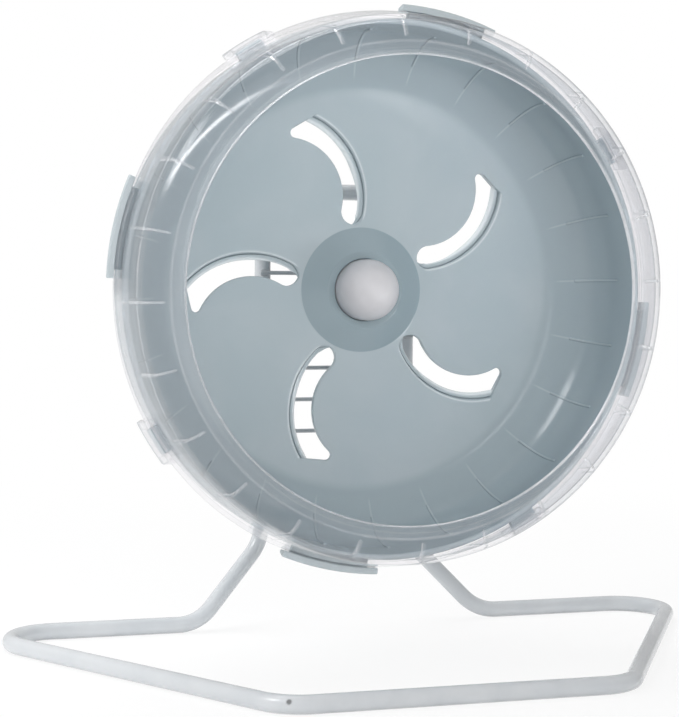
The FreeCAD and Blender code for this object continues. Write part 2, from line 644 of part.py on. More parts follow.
def offset_path(inset):
    """Mouth bead, corner tangent points and back edge of the ring's wall, moved in by an inset."""
    corner_radius, corner_y = ring_corner()
    slope = math.radians(LIP_SLOPE)
    taper = math.radians(RING_TAPER)
    half_turn = (math.pi / 2 - slope - taper) / 2
    tangent = RING_CORNER * math.tan(half_turn)
    lip_end = (corner_radius - tangent * math.cos(slope), corner_y - tangent * math.sin(slope))
    wall_end = (corner_radius + tangent * math.sin(taper), corner_y + tangent * math.cos(taper))
    centre = (lip_end[0] - RING_CORNER * math.sin(slope), lip_end[1] + RING_CORNER * math.cos(slope))
    radius = RING_CORNER - inset
    lip_direction = math.degrees(slope) - 90.0
    wall_direction = -math.degrees(taper)
    middle = on_circle(centre, radius, (lip_direction + wall_direction) / 2)
    lip_point = on_circle(centre, radius, lip_direction)
    wall_point = on_circle(centre, radius, wall_direction)
    mouth_radius = MOUTH_RADIUS + LIP_BEAD_RADIUS
    mouth = (mouth_radius, lip_point[1] - (lip_point[0] - mouth_radius) * math.tan(slope))
    back = (wall_point[0] + (RING_BACK_Y - wall_point[1]) * math.tan(taper), RING_BACK_Y)
    return mouth, lip_point, middle, wall_point, back


def ring_shell():
    mouth, lip, middle, wall, back = offset_path(0.0)
    mouth_in, lip_in, middle_in, wall_in, back_in = offset_path(RING_WALL)
    edges = [line(mouth, lip), arc(lip, middle, wall), line(wall, back), line(back, back_in),
             line(back_in, wall_in), arc(wall_in, middle_in, lip_in), line(lip_in, mouth_in),
             line(mouth_in, mouth)]
    bead_y = (mouth[1] + mouth_in[1]) / 2
    bead = Part.makeTorus(MOUTH_RADIUS + LIP_BEAD_RADIUS, LIP_BEAD_RADIUS, vec(0, bead_y, AXLE_Z), ALONG)
    return turned(edges).fuse(bead)


def ring_tread():
    """One low rib on the inside of the ring's wall and lip, at the three-o'clock place."""
    low = offset_path(RING_WALL - BURY)
    high = offset_path(RING_WALL + TREAD_HEIGHT)
    along = math.radians(LIP_SLOPE)
    stop_y = RIM_Y - RING_TREAD_STOP
    taper = math.tan(math.radians(RING_TAPER))

    def lip_stop(path):
        return path[0][0] + LIP_PLAIN_WIDTH * math.cos(along), path[0][1] + LIP_PLAIN_WIDTH * math.sin(along)

    def wall_stop(path):
        return path[4][0] - (RING_BACK_Y - stop_y) * taper, stop_y

    edges = [line(lip_stop(low), low[1]), arc(low[1], low[2], low[3]), line(low[3], wall_stop(low)),
             line(wall_stop(low), wall_stop(high)), line(wall_stop(high), high[3]),
             arc(high[3], high[2], high[1]), line(high[1], lip_stop(high)),
             line(lip_stop(high), lip_stop(low))]
    rib = face_of(edges).extrude(vec(0, 0, TREAD_WIDTH))
    rib.translate(vec(0, 0, -TREAD_WIDTH / 2))
    return rib


def snap_loop():
    """Raised frame that follows the ring's taper and reaches past its back edge."""
    front = ring_edge_radius(LOOP_FRONT_Y)
    back = ring_edge_radius(LOOP_BACK_Y)
    outline = polygon_edges([(front - LOOP_SINK, LOOP_FRONT_Y), (front + LOOP_THICKNESS, LOOP_FRONT_Y),
                             (back + LOOP_THICKNESS, LOOP_BACK_Y), (back - LOOP_SINK, LOOP_BACK_Y)])
    return turned(outline, LOOP_PHASE - LOOP_ANGLE / 2, LOOP_ANGLE)


def loop_window():
    """Opening through a snap loop and the wall under it, for the pan's catch."""
    inner = PAN_RADIUS - BURY
    outer = RING_RADIUS + 2 * LOOP_THICKNESS
    return turned(rectangle(inner, outer, WINDOW_FRONT_Y, WINDOW_BACK_Y),
                  LOOP_PHASE - WINDOW_ANGLE / 2, WINDOW_ANGLE)


def front_ring():
    step = 360.0 / FASTENER_COUNT
    loops = [spun(snap_loop(), step * k) for k in range(FASTENER_COUNT)]
    windows = [spun(loop_window(), step * k) for k in range(FASTENER_COUNT)]
    return one_solid(ring_shell().multiFuse(tread_set(ring_tread()) + loops).cut(windows))


def hub_cap():
    """Domed push-in cap: round nose, neck that enters the collar, skirt that enters the bearing bore."""
    seat_y = COLLAR_Y + CAP_SEAT_DEPTH - CAP_SEAT_CLEARANCE
    dome_y = COLLAR_Y - CAP_NECK
    skirt = BEARING_RADIUS - CAP_SKIRT_CLEARANCE
    skirt_bore = skirt - CAP_SKIRT_WALL
    hollow = min(CAP_RADIUS - CAP_WALL, skirt_bore)
    skirt_y = FRONT_BEARING_Y - CAP_SKIRT_CLEARANCE
    dome = (0.0, dome_y)
    nose, nose_in = (0.0, dome_y - CAP_RADIUS), (0.0, dome_y - hollow)
    neck = [(CAP_RADIUS, dome_y), (CAP_RADIUS, seat_y), (skirt, seat_y), (skirt, skirt_y),
            (skirt_bore, skirt_y), (hollow, dome_y)]
    edges = [arc(nose, on_circle(dome, CAP_RADIUS, -45), neck[0]),
             arc(neck[-1], on_circle(dome, hollow, -45), nose_in), line(nose_in, nose)]
    edges += [line(a, b) for a, b in zip(neck, neck[1:])]
    return one_solid(turned(edges))


os.makedirs("parts", exist_ok=True)
PARTS = {
    "stand_frame": rod_loop(),
    "cross_rungs": cross_rungs(),
    "axle_carrier": axle_carrier(),
    "clamp_plate": clamp_plate(),
    "clamp_screws": clamp_screws(),
    "clamp_nuts": clamp_nuts(),
    "axle_bolt": axle_bolt(),
    "bolt_washer": axle_ring(BOLT_WASHER_RADIUS, PLATE_BACK_Y, BOLT_HEAD_Y),
    "rear_bearing_inner_ring": bearing_inner_ring(REAR_BEARING_Y),
    "inner_spacer": axle_ring(NOSE_RADIUS, FRONT_BEARING_Y + BEARING_WIDTH, REAR_BEARING_Y),
    "front_bearing_inner_ring": bearing_inner_ring(FRONT_BEARING_Y),
    "front_washer": axle_ring(NOSE_RADIUS, FRONT_WASHER_Y, FRONT_BEARING_Y),
    "lock_nut": lock_nut(),
    "rear_bearing_balls": bearing_balls(REAR_BEARING_Y),
    "rear_bearing_cage": bearing_cage(REAR_BEARING_Y),
    "front_bearing_balls": bearing_balls(FRONT_BEARING_Y),
    "front_bearing_cage": bearing_cage(FRONT_BEARING_Y),
    "rear_bearing_outer_ring": bearing_outer_ring(REAR_BEARING_Y),
    "rear_bearing_shields": bearing_shields(REAR_BEARING_Y),
    "front_bearing_outer_ring": bearing_outer_ring(FRONT_BEARING_Y),
    "front_bearing_shields": bearing_shields(FRONT_BEARING_Y),
    "bearing_circlip": bearing_circlip(),
    "wheel_pan": wheel_pan(),
    "front_ring": front_ring(),
    "hub_cap": hub_cap(),
}
for node, shape in PARTS.items():
    print(node, len(shape.Solids), round(shape.Volume, 1), shape.isValid())
    shape.exportStep("parts/" + node + ".step")
box = Part.makeCompound(list(PARTS.values())).optimalBoundingBox(False)
print("box", [round(edge, 2) for edge in (box.XMin, box.XMax, box.YMin, box.YMax, box.ZMin, box.ZMax)])
print("stations", round(LIP_Y, 2), round(DISC_Y, 2), round(UPRIGHT_Y, 2))
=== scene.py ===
import math

import bmesh
import bpy
from bmesh.types import BMEdge, BMFace, BMVert
from mathutils import Matrix, Vector


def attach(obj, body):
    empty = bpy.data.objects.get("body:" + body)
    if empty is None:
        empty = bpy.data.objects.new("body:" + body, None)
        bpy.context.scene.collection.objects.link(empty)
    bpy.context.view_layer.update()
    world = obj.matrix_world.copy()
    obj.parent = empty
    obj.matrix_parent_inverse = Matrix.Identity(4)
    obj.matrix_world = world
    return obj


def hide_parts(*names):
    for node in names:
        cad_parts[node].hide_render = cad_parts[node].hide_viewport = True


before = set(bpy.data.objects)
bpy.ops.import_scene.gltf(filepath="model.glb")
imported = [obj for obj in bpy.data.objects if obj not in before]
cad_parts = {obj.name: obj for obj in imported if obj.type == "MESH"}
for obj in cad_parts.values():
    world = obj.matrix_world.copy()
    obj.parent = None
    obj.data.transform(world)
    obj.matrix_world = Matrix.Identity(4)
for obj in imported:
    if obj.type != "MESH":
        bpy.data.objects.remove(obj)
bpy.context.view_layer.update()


# Camera: it stands left of the open mouth, a little above the axle, and looks slightly down.
# Its place, turn and lens come from the wheel's circles and the floor loop of the stand.
CAMERA_PLACE = (-0.214655, -0.649464, 0.144461)
CAMERA_YAW = math.radians(16.670)
CAMERA_PITCH = math.radians(-2.646)
CAMERA_ROLL = math.radians(0.353)
CAMERA_SENSOR = 36
CAMERA_LENS = 91.213

camera = bpy.data.objects.new("camera", bpy.data.cameras.new("camera"))
camera.data.sensor_width = CAMERA_SENSOR
camera.data.lens = CAMERA_LENS
camera.matrix_world = (
    Matrix.Translation(CAMERA_PLACE) @ Matrix.Rotation(-CAMERA_YAW, 4, "Z")
    @ Matrix.Rotation(math.pi / 2 + CAMERA_PITCH, 4, "X") @ Matrix.Rotation(CAMERA_ROLL, 4, "Z"))
bpy.context.scene.collection.objects.link(camera)
bpy.context.scene.camera = camera
bpy.context.scene.view_settings.view_transform = "Standard"


# Studio: a white floor in white surroundings, which light the object less than they look. A lamp high
# on the left and a low panel on the right, which shines up into the drum, fade towards their edges and
# show in the gloss. Three fills, over the camera, above the back and on the left, have no mirror image.
WHITE = (1, 1, 1, 1)
AMBIENT = 0.29
GLOSS_SHARE = 0.4
FLOOR_HALF = 8
FLOOR_WHITE = (0.95, 0.955, 0.96, 1)
FLOOR_GLOW = 0.86
FLOOR_FADE = (0.22, 0.60)
LAMP_EDGE = 0.3
# Place, aim, width, height and power of each lamp.
LAMPS = {
    "left_lamp": ((-0.94, -0.24, 0.88), (0, 0.03, 0.10), 0.60, 0.60, 3.9),
    "low_panel": ((0.30, -0.23, 0.004), (0.30, -0.23, 1.0), 0.28, 0.115, 1.0),
    "front_fill": ((-0.05, -1.65, 0.65), (0, 0.03, 0.13), 1.4, 1.0, 11.6),
    "top_fill": ((-0.25, 0.45, 1.15), (0, 0.03, 0.05), 0.8, 0.8, 9.0),
    "side_fill": ((-1.10, 0.16, 0.25), (0, 0.03, 0.10), 0.6, 0.6, 2.6),
}


class Wire:
    """A socket of a node tree. Arithmetic on wires adds Math nodes to the tree."""

    def __init__(self, tree, socket):
        self.tree = tree
        self.socket = socket

    @classmethod
    def node(cls, tree, kind, settings=None, sockets=None, output=0):
        """Add a node: its settings first, then the values or the links of its sockets."""
        made = tree.nodes.new("ShaderNode" + kind)
        for name, value in (settings or {}).items():
            setattr(made, name, value)
        for name, value in (sockets or {}).items():
            if isinstance(value, Wire):
                tree.links.new(value.socket, made.inputs[name])
            else:
                made.inputs[name].default_value = value
        return cls(tree, made.outputs[output]) if made.outputs else None

    def reckon(self, operation, first, second=0.0):
        return Wire.node(self.tree, "Math", {"operation": operation}, {0: first, 1: second})

    def __add__(self, other):
        return self.reckon("ADD", self, other)

    def __sub__(self, other):
        return self.reckon("SUBTRACT", self, other)

    def __rsub__(self, other):
        return self.reckon("SUBTRACT", other, self)

    def __mul__(self, other):
        return self.reckon("MULTIPLY", self, other)

    def __pow__(self, other):
        return self.reckon("POWER", self, other)

    __radd__ = __add__
    __rmul__ = __mul__

    def between(self, low, high):
        """Smooth step from 0 at low to 1 at high."""
        return Wire.node(self.tree, "MapRange", {"interpolation_type": "SMOOTHSTEP"},
                         {"Value": self, "From Min": low, "From Max": high})

    def within(self, band):
        """1 inside a band that rises over its first two values and falls over its last two."""
        return self.between(*band[:2]) * (1 - self.between(*band[2:]))


def shown_rays(tree, gloss):
    """1 for the rays that show the surroundings, a share for gloss, 0 for those that only carry light."""
    seen, mirrored, through = (Wire.node(tree, "LightPath", output=f"Is {ray} Ray")
                               for ray in ("Camera", "Glossy", "Transmission"))
    return seen.reckon("MINIMUM", seen + through + mirrored * gloss, 1.0)


def new_finish(name):
    """Empty material, with its node tree and the piece's own coordinates."""
    material = bpy.data.materials.new(name)
    material.use_nodes = True
    material.node_tree.nodes.clear()
    return material, material.node_tree, Wire.node(material.node_tree, "TexCoord", output="Object")


def soft_edged(lamp):
    """Let a lamp fade towards its edges, as the cloth of a softbox does, at the power it has."""
    lamp.use_nodes = True
    tree = lamp.node_tree
    tree.nodes.clear()
    across = Wire.node(tree, "NewGeometry", output="Parametric")
    inward = [across.reckon("PINGPONG", Wire.node(tree, "SeparateXYZ", {}, {0: across}, output=axis), 0.5)
              for axis in "XY"]
    share = inward[0].between(0, LAMP_EDGE) * inward[1].between(0, LAMP_EDGE)
    cloth = Wire.node(tree, "Emission", {}, {"Color": WHITE, "Strength": share * (1 - LAMP_EDGE) ** -2})
    Wire.node(tree, "OutputLight", {}, {"Surface": cloth})


world = bpy.data.worlds.new("studio")
bpy.context.scene.world = world
world.use_nodes = True
world.node_tree.nodes.clear()
brightness = AMBIENT + shown_rays(world.node_tree, GLOSS_SHARE) * (1 - AMBIENT)
surround = Wire.node(world.node_tree, "Background", {}, {"Color": WHITE, "Strength": brightness})
Wire.node(world.node_tree, "OutputWorld", {}, {"Surface": surround})

# The floor keeps the object's shadow and fades into the surroundings further out.
floor_mesh = bpy.data.meshes.new("floor")
bm = bmesh.new()
bmesh.ops.create_grid(bm, x_segments=2, y_segments=2, size=FLOOR_HALF)
bm.to_mesh(floor_mesh)
bm.free()
floor = bpy.data.objects.new("floor", floor_mesh)
bpy.context.scene.collection.objects.link(floor)
floor_paint, tree, place = new_finish("floor paint")
painted = Wire.node(tree, "BsdfPrincipled", {}, {
    "Base Color": FLOOR_WHITE, "Roughness": 0.7, "Specular IOR Level": 0.2})
glow = Wire.node(tree, "Emission", {}, {"Color": WHITE, "Strength": 1.0})
from_middle = Wire.node(tree, "VectorMath", {"operation": "LENGTH"}, {0: place}, output="Value")
glow_share = FLOOR_GLOW + from_middle.between(*FLOOR_FADE) * (1 - FLOOR_GLOW)
mixed = Wire.node(tree, "MixShader", {}, {0: shown_rays(tree, 1.0) * glow_share, 1: painted, 2: glow})
Wire.node(tree, "OutputMaterial", {}, {"Surface": mixed})
floor_mesh.materials.append(floor_paint)

for lamp_name, (stands, aim, width, height, power) in LAMPS.items():
    is_fill = lamp_name.endswith("fill")
    lamp = bpy.data.lights.new(lamp_name, "AREA")
    lamp.shape = "RECTANGLE"
    lamp.size = width
    lamp.size_y = height
    lamp.energy = power
    if not is_fill:
        soft_edged(lamp)
    holder = bpy.data.objects.new(lamp_name, lamp)
    turn = (Vector(aim) - Vector(stands)).to_track_quat("-Z", "Y").to_matrix().to_4x4()
    holder.matrix_world = Matrix.Translation(stands) @ turn
    holder.visible_camera = False
    holder.visible_glossy = not is_fill
    # Through the clear ring the side fill would show as a white patch.
    holder.visible_transmission = lamp_name != "side_fill"
    bpy.context.scene.collection.objects.link(holder)


# Stand: one 6.5 mm steel rod, cold bent into a closed loop and butt welded. It lies on the floor as a
# hexagon, and its back run rises as two splayed legs and an upside-down U behind the wheel. The finish
# is white powder coat, which flows into a fine orange peel; a pit is left at the weld in front.
MM = 0.001
ROD_RADIUS = 3.25 * MM
ROD_SIDES = 40
# Corners of the rod's right half, from the top of the U to the front of the loop.
ROD_CORNERS = ((31, 74.65, 178.5), (31, 74.65, 34.4), (60, 63.65, 3.25), (151, 63.65, 3.25),
               (62.3, -80.55, 3.25))
ROD_BEND = 18 * MM
BEND_STEP = 5
LEAST_BEND_STEPS = 8
MIRROR_GAP = 1e-5
SEAM_GAP = 2e-6
NO_LENGTH = 1e-6
CREASE = math.radians(32)
COAT_WHITE = (0.635, 0.655, 0.675, 1)
COAT_THIN = (0.585, 0.610, 0.635, 1)
COAT_PATCHES = (0.35, 0.75)
WELD_PLACE = (-61.0 * MM, -81.4 * MM, 4.7 * MM)
WELD_GREY = (0.20, 0.205, 0.21, 1)
PIT_EDGE = (0.5 * MM, 1.2 * MM)
PIT_DEPTH = 6.0


def grain(tree, place, size, detail=2.0):
    """Noise with features of about the given size in metres."""
    return Wire.node(tree, "TexNoise", {}, {"Vector": place, "Scale": 1 / size, "Detail": detail})


def blended(tree, share, first, second):
    """Colour between two colours or colour wires."""
    return Wire.node(tree, "Mix", {"data_type": "RGBA"}, {0: share, 6: first, 7: second}, output=2)


def close_finish(tree, height, depth, sockets):
    """Join the surface's sockets, and a bump of the given depth in metres, to the output."""
    bump = Wire.node(tree, "Bump", {}, {"Height": height, "Distance": depth, "Strength": 1.0})
    shader = Wire.node(tree, "BsdfPrincipled", {}, {"Normal": bump, **sockets})
    Wire.node(tree, "OutputMaterial", {}, {"Surface": shader})


def closed_shell(bm):
    """Merge a shell's seams and turn its faces outwards."""
    bmesh.ops.remove_doubles(bm, verts=bm.verts, dist=SEAM_GAP)
    bmesh.ops.dissolve_degenerate(bm, edges=bm.edges, dist=NO_LENGTH)
    bmesh.ops.recalc_face_normals(bm, faces=bm.faces)
    if bm.calc_volume(signed=True) < 0:
        bmesh.ops.reverse_faces(bm, faces=bm.faces)


def finished_piece(name, bm, material):
    """Shade a mesh by its crease angle and put the piece in the scene."""
    for face in bm.faces:
        face.smooth = True
    for edge in bm.edges:
        edge.smooth = len(edge.link_faces) == 2 and edge.calc_face_angle() < CREASE
    mesh = bpy.data.meshes.new(name)
    bm.to_mesh(mesh)
    bm.free()
    mesh.materials.append(material)
    piece = bpy.data.objects.new(name, mesh)
    bpy.context.scene.collection.objects.link(piece)
    piece.modifiers.new("even shading", "WEIGHTED_NORMAL").keep_sharp = True
    return piece


def only(kind, made):
    """The verts, edges or faces among what an operator made."""
    return [item for item in made if isinstance(item, kind)]


def drawn_out(bm, rim, travel):
    """Extrude a rim of edges along a straight run and give back the rim at its end."""
    made = bmesh.ops.extrude_edge_only(bm, edges=rim)["geom"]
    bmesh.ops.translate(bm, verts=only(BMVert, made), vec=travel)
    return only(BMEdge, made)


coat, tree, place = new_finish("white powder coat")
peel = grain(tree, place, 1.6 * MM)
cover = grain(tree, place, 14 * MM, 3.0)
dust = grain(tree, place, 0.35 * MM, 1.0)
off_weld = Wire.node(tree, "VectorMath", {"operation": "DISTANCE"}, {0: place, 1: WELD_PLACE},
                     output="Value")
pit = 1 - off_weld.between(*PIT_EDGE)
white = blended(tree, cover.between(*COAT_PATCHES), COAT_WHITE, COAT_THIN)
close_finish(tree, peel + dust * 0.12 - pit * PIT_DEPTH, 0.05 * MM, {
    "Base Color": blended(tree, pit, white, WELD_GREY),
    "Roughness": 0.20 + peel * 0.08, "Coat Weight": 0.6, "Coat Roughness": 0.06})

bm = bmesh.new()
stops = [Vector(corner) * MM for corner in ROD_CORNERS]
here = Vector((0, stops[0].y, stops[0].z))
stops.append(Vector((0, stops[-1].y, stops[-1].z)))
upright = Matrix.Translation(here) @ Matrix.Rotation(math.pi / 2, 4, "Y")
bmesh.ops.create_circle(bm, segments=ROD_SIDES, radius=ROD_RADIUS, matrix=upright)
rim = bm.edges[:]
for corner, beyond in zip(stops, stops[1:]):
    arriving = (corner - here).normalized()
    leaving = (beyond - corner).normalized()
    angle = arriving.angle(leaving)
    reach = ROD_BEND * math.tan(angle / 2)
    axis = arriving.cross(leaving).normalized()
    bend_start = corner - arriving * reach
    rim = drawn_out(bm, rim, bend_start - here)
    bent = bmesh.ops.spin(bm, geom=rim, cent=bend_start + axis.cross(arriving) * ROD_BEND, axis=axis,
                          angle=angle, steps=max(LEAST_BEND_STEPS, round(math.degrees(angle) / BEND_STEP)))
    rim = only(BMEdge, bent["geom_last"])
    here = corner + leaving * reach
drawn_out(bm, rim, stops[-1] - here)
bmesh.ops.mirror(bm, geom=bm.verts[:] + bm.edges[:] + bm.faces[:], matrix=Matrix.Identity(4),
                 merge_dist=MIRROR_GAP, axis="X")
closed_shell(bm)
stand_rod = finished_piece("stand_rod", bm, coat)
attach(stand_rod, "stand")
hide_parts("stand_frame")


# Rungs: six 1.7 mm wires across the front of the uprights, resistance welded, with the rod's coat painted
# greyer as painted shade of the wheel. The carrier can hang on any neighbouring pair, which sets the
# wheel's height.
RUNG_STATION = 70.7 * MM
RUNG_HEIGHTS = (145, 132, 119, 106, 93, 80)
RUNG_HALF = 33 * MM
RUNG_RADIUS = 0.85 * MM
RUNG_SIDES = 20
RUNG_END_ROUND = 0.4 * MM
RUNG_END_STEPS = 3
WELD_HALF = 31 * MM
WELD_BEHIND = 0.9 * MM
WELD_SIZE = (2.1 * MM, 0.75 * MM, 1.55 * MM, 1)
# Painted shade: the rungs' colours are greyer than the rod's, for the wheel's shade on them.
RUNG_SHADED_COAT = (0.46, 0.48, 0.50, 1)
RUNG_SHADED_THIN_COAT = (0.38, 0.40, 0.42, 1)


def round_edges(bm, edges, offset, steps, clamp=True):
    bmesh.ops.bevel(bm, geom=list(edges), offset=offset, segments=steps, profile=0.5, affect="EDGES",
                    material=-1, clamp_overlap=clamp)


# Coat of the rungs, greyer for painted shade.
shaded_rung_coat, tree, place = new_finish("rung coat with painted shade")
peel = grain(tree, place, 1.2 * MM)
cover = grain(tree, place, 8 * MM, 3.0)
close_finish(tree, peel, 0.04 * MM, {
    "Base Color": blended(tree, cover.between(*COAT_PATCHES), RUNG_SHADED_COAT, RUNG_SHADED_THIN_COAT),
    "Roughness": 0.28 + peel * 0.10, "Coat Weight": 0.2, "Coat Roughness": 0.15})

bm = bmesh.new()
across = Matrix.Rotation(math.pi / 2, 4, "Y")
for height in RUNG_HEIGHTS:
    middle = Matrix.Translation((0, RUNG_STATION, height * MM))
    wire = bmesh.ops.create_cone(bm, cap_ends=True, segments=RUNG_SIDES, radius1=RUNG_RADIUS,
                                 radius2=RUNG_RADIUS, depth=2 * RUNG_HALF, matrix=middle @ across)["verts"]
    ends = {edge for vert in wire for edge in vert.link_edges
            if abs(edge.verts[0].co.x - edge.verts[1].co.x) < NO_LENGTH}
    round_edges(bm, ends, RUNG_END_ROUND, RUNG_END_STEPS, clamp=False)
    for side in (-1, 1):
        seat = Matrix.Translation((side * WELD_HALF, RUNG_STATION + WELD_BEHIND, height * MM))
        bmesh.ops.create_icosphere(bm, subdivisions=3, radius=1, matrix=seat @ Matrix.Diagonal(WELD_SIZE))
rungs = finished_piece("rungs", bm, shaded_rung_coat)
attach(rungs, "stand")
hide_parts("cross_rungs")


# Axle carrier: two glass-filled nylon halves that clamp a pair of rungs between them. The front half
# has a nose that carries the rear bearing and hexagon pockets for the nuts; the rear half takes the
# screw heads.
AXLE = Vector((0, 0, 138.5 * MM))
ALONG = Vector((0, 1, 0))
CARRIER_HALF = (15.5, 12.5)
CARRIER_CORNER = 3 * MM
CARRIER_CORNER_STEPS = 6
CARRIER_EDGE = 0.35 * MM
CARRIER_STATIONS = (64.15, 70.5)
CLAMP_STATIONS = (70.9, 76.9)
SCREW_OFFSET = 10.8 * MM
POCKET_RADIUS = 4.2 * MM
POCKET_SIDES = 6
HEAD_HOLE_RADIUS = 3.85 * MM
AXLE_HOLE_RADIUS = 4.1 * MM
HOLE_SIDES = 48
# Outlines give each corner's radius, station along the axle, rounding and the rounding's steps.
NOSE_OUTLINE = ((4.1, 59.65, 0.2), (5.9, 59.65, 0.4), (5.9, 64.3, 0), (4.1, 64.3, 0))
NOSE_STEPS = 64
TURN_STEPS = 96
ROUNDING_STEPS = 4
SHARP = math.radians(50)
SHARP_STEPS = 2
NYLON = (0.30, 0.315, 0.33, 1)
NYLON_DARK = (0.24, 0.255, 0.27, 1)


def round_corners(bm, verts, offset, steps):
    bmesh.ops.bevel(bm, geom=verts, offset=offset, offset_type="ABSOLUTE", segments=steps, profile=0.5,
                    affect="VERTICES", material=-1)


def rounded_outline(corners):
    """Face in the axle's half plane, from (radius, station, rounding, steps) in millimetres."""
    bm = bmesh.new()
    verts = [bm.verts.new((AXLE.x + radius * MM, station * MM, AXLE.z)) for radius, station, *_ in corners]
    bm.faces.new(verts)
    for vert, (_, _, rounding, *steps) in zip(verts, corners):
        if rounding:
            first, second = (edge.other_vert(vert).co - vert.co for edge in vert.link_edges)
            tangent = rounding * MM / math.tan(first.angle(second) / 2)
            round_corners(bm, [vert], tangent, steps[0] if steps else ROUNDING_STEPS)
    return bm, verts


def outline_edges(corners, open_end):
    """Edges of an outline, without its face. An open end leaves out the outline's last side."""
    bm, verts = rounded_outline(corners)
    bmesh.ops.delete(bm, geom=bm.faces[:], context="FACES_ONLY")
    if open_end:
        bmesh.ops.delete(bm, geom=[bm.edges.get((verts[-1], verts[0]))], context="EDGES")
    return bm


def turned(corners, open_end=False, steps=TURN_STEPS):
    """Outline spun once round the axle."""
    bm = outline_edges(corners, open_end)
    bmesh.ops.spin(bm, geom=bm.verts[:] + bm.edges[:], cent=AXLE, axis=ALONG, angle=2 * math.pi,
                   steps=steps, use_merge=True)
    closed_shell(bm)
    return bm


def absorb(bm, other):
    """Add another mesh's shells to a mesh."""
    carrier = bpy.data.meshes.new("shell")
    other.to_mesh(carrier)
    other.free()
    bm.from_mesh(carrier)
    bpy.data.meshes.remove(carrier)


def soften(bm, offset):
    """Round every sharp edge, as a mould's edges are."""
    sharp = [edge for edge in bm.edges
             if len(edge.link_faces) == 2 and edge.calc_face_angle() > SHARP]
    round_edges(bm, sharp, offset, SHARP_STEPS)


def drilled_plate(stations, screw_radius, screw_sides):
    """Carrier half: a plate with rounded corners, the axle's hole and a screw's hole on each side of it."""
    bm = bmesh.new()
    half_x, half_z = CARRIER_HALF
    front, back = stations
    verts = [bm.verts.new((x * MM, front * MM, AXLE.z + z * MM)) for x, z in (
        (-half_x, -half_z), (half_x, -half_z), (half_x, half_z), (-half_x, half_z))]
    bm.faces.new(verts)
    round_corners(bm, verts, CARRIER_CORNER, CARRIER_CORNER_STEPS)
    bmesh.ops.delete(bm, geom=bm.faces[:], context="FACES_ONLY")
    for x, radius, sides in ((0, AXLE_HOLE_RADIUS, HOLE_SIDES), (-SCREW_OFFSET, screw_radius, screw_sides),
                             (SCREW_OFFSET, screw_radius, screw_sides)):
        seat = Matrix.Translation((x, front * MM, AXLE.z)) @ Matrix.Rotation(math.pi / 2, 4, "X")
        bmesh.ops.create_circle(bm, segments=sides, radius=radius, matrix=seat)
    bmesh.ops.triangle_fill(bm, edges=bm.edges[:], use_beauty=True)
    made = bmesh.ops.extrude_face_region(bm, geom=bm.faces[:])["geom"]
    bmesh.ops.translate(bm, verts=only(BMVert, made), vec=ALONG * (back - front) * MM)
    closed_shell(bm)
    soften(bm, CARRIER_EDGE)
    return bm


nylon, tree, place = new_finish("glass-filled nylon")
drawn = Wire.node(tree, "Mapping", {}, {"Vector": place, "Scale": (0.35, 1, 1)})
fibre = grain(tree, drawn, 0.5 * MM, 3.0)
spark = grain(tree, place, 0.18 * MM, 1.0)
cloud = grain(tree, place, 6 * MM)
close_finish(tree, spark * 0.6 + fibre * 0.4, 0.04 * MM, {
    "Base Color": blended(tree, cloud * 0.5 + fibre * 0.5, NYLON_DARK, NYLON),
    "Roughness": 0.42 + spark * 0.18})

bm = drilled_plate(CARRIER_STATIONS, POCKET_RADIUS, POCKET_SIDES)
absorb(bm, turned(NOSE_OUTLINE, steps=NOSE_STEPS))
carrier_front = finished_piece("carrier_front", bm, nylon)
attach(carrier_front, "stand")
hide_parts("axle_carrier")

bm = drilled_plate(CLAMP_STATIONS, HEAD_HOLE_RADIUS, HOLE_SIDES)
carrier_rear = finished_piece("carrier_rear", bm, nylon)
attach(carrier_rear, "stand")
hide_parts("clamp_plate")


# Bolt, screws, nuts and washers: stock steel fasteners, cold formed and zinc plated with a pale
# passivated film. The axle bolt goes through the clamp and both bearings and ends in a lock nut under
# the hub's cap. The spacer and the bearings' shields have the same finish.
ZINC = (0.60, 0.61, 0.63, 1)
ZINC_WARM = (0.56, 0.55, 0.50, 1)
FILM_PATCHES = (0.4, 0.8)
ZINC_NODES = ("axle_bolt", "bolt_washer", "clamp_screws", "clamp_nuts", "inner_spacer", "front_washer",
              "lock_nut", "rear_bearing_shields", "front_bearing_shields")


def dress(nodes, material):
    """Give the CAD nodes a finish in place of their plain one."""
    for name in nodes:
        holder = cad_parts[name]
        holder.data.materials.clear()
        holder.data.materials.append(material)


zinc, tree, place = new_finish("zinc plate")
spangle = Wire.node(tree, "TexVoronoi", {}, {"Vector": place, "Scale": 1 / (0.8 * MM), "Randomness": 1.0})
film = grain(tree, place, 5 * MM, 3.0)
pits = grain(tree, place, 0.25 * MM)
close_finish(tree, pits + spangle * 0.3, 0.02 * MM, {
    "Base Color": blended(tree, film.between(*FILM_PATCHES), ZINC, ZINC_WARM), "Metallic": 1.0,
    "Roughness": 0.26 + spangle * 0.12 + film * 0.08})
dress(ZINC_NODES, zinc)


# Bearings: two 8 x 22 x 7 mm deep groove ball bearings. Hardened and ground rings and balls, with a
# moulded cage between pressed shields; a phosphated spring circlip keeps the rear one in.
BEARING_STEEL = (0.56, 0.565, 0.575, 1)
BEARING_SHADE = (0.48, 0.485, 0.50, 1)
CAGE_CREAM = (0.72, 0.66, 0.50, 1)
CAGE_TAN = (0.66, 0.59, 0.43, 1)
PHOSPHATE = (0.040, 0.042, 0.046, 1)
PHOSPHATE_GREY = (0.085, 0.088, 0.092, 1)
RUB_PATCHES = (0.45, 0.75)
BEARING_NODES = ("rear_bearing_inner_ring", "rear_bearing_outer_ring", "rear_bearing_balls",
                 "front_bearing_inner_ring", "front_bearing_outer_ring", "front_bearing_balls")

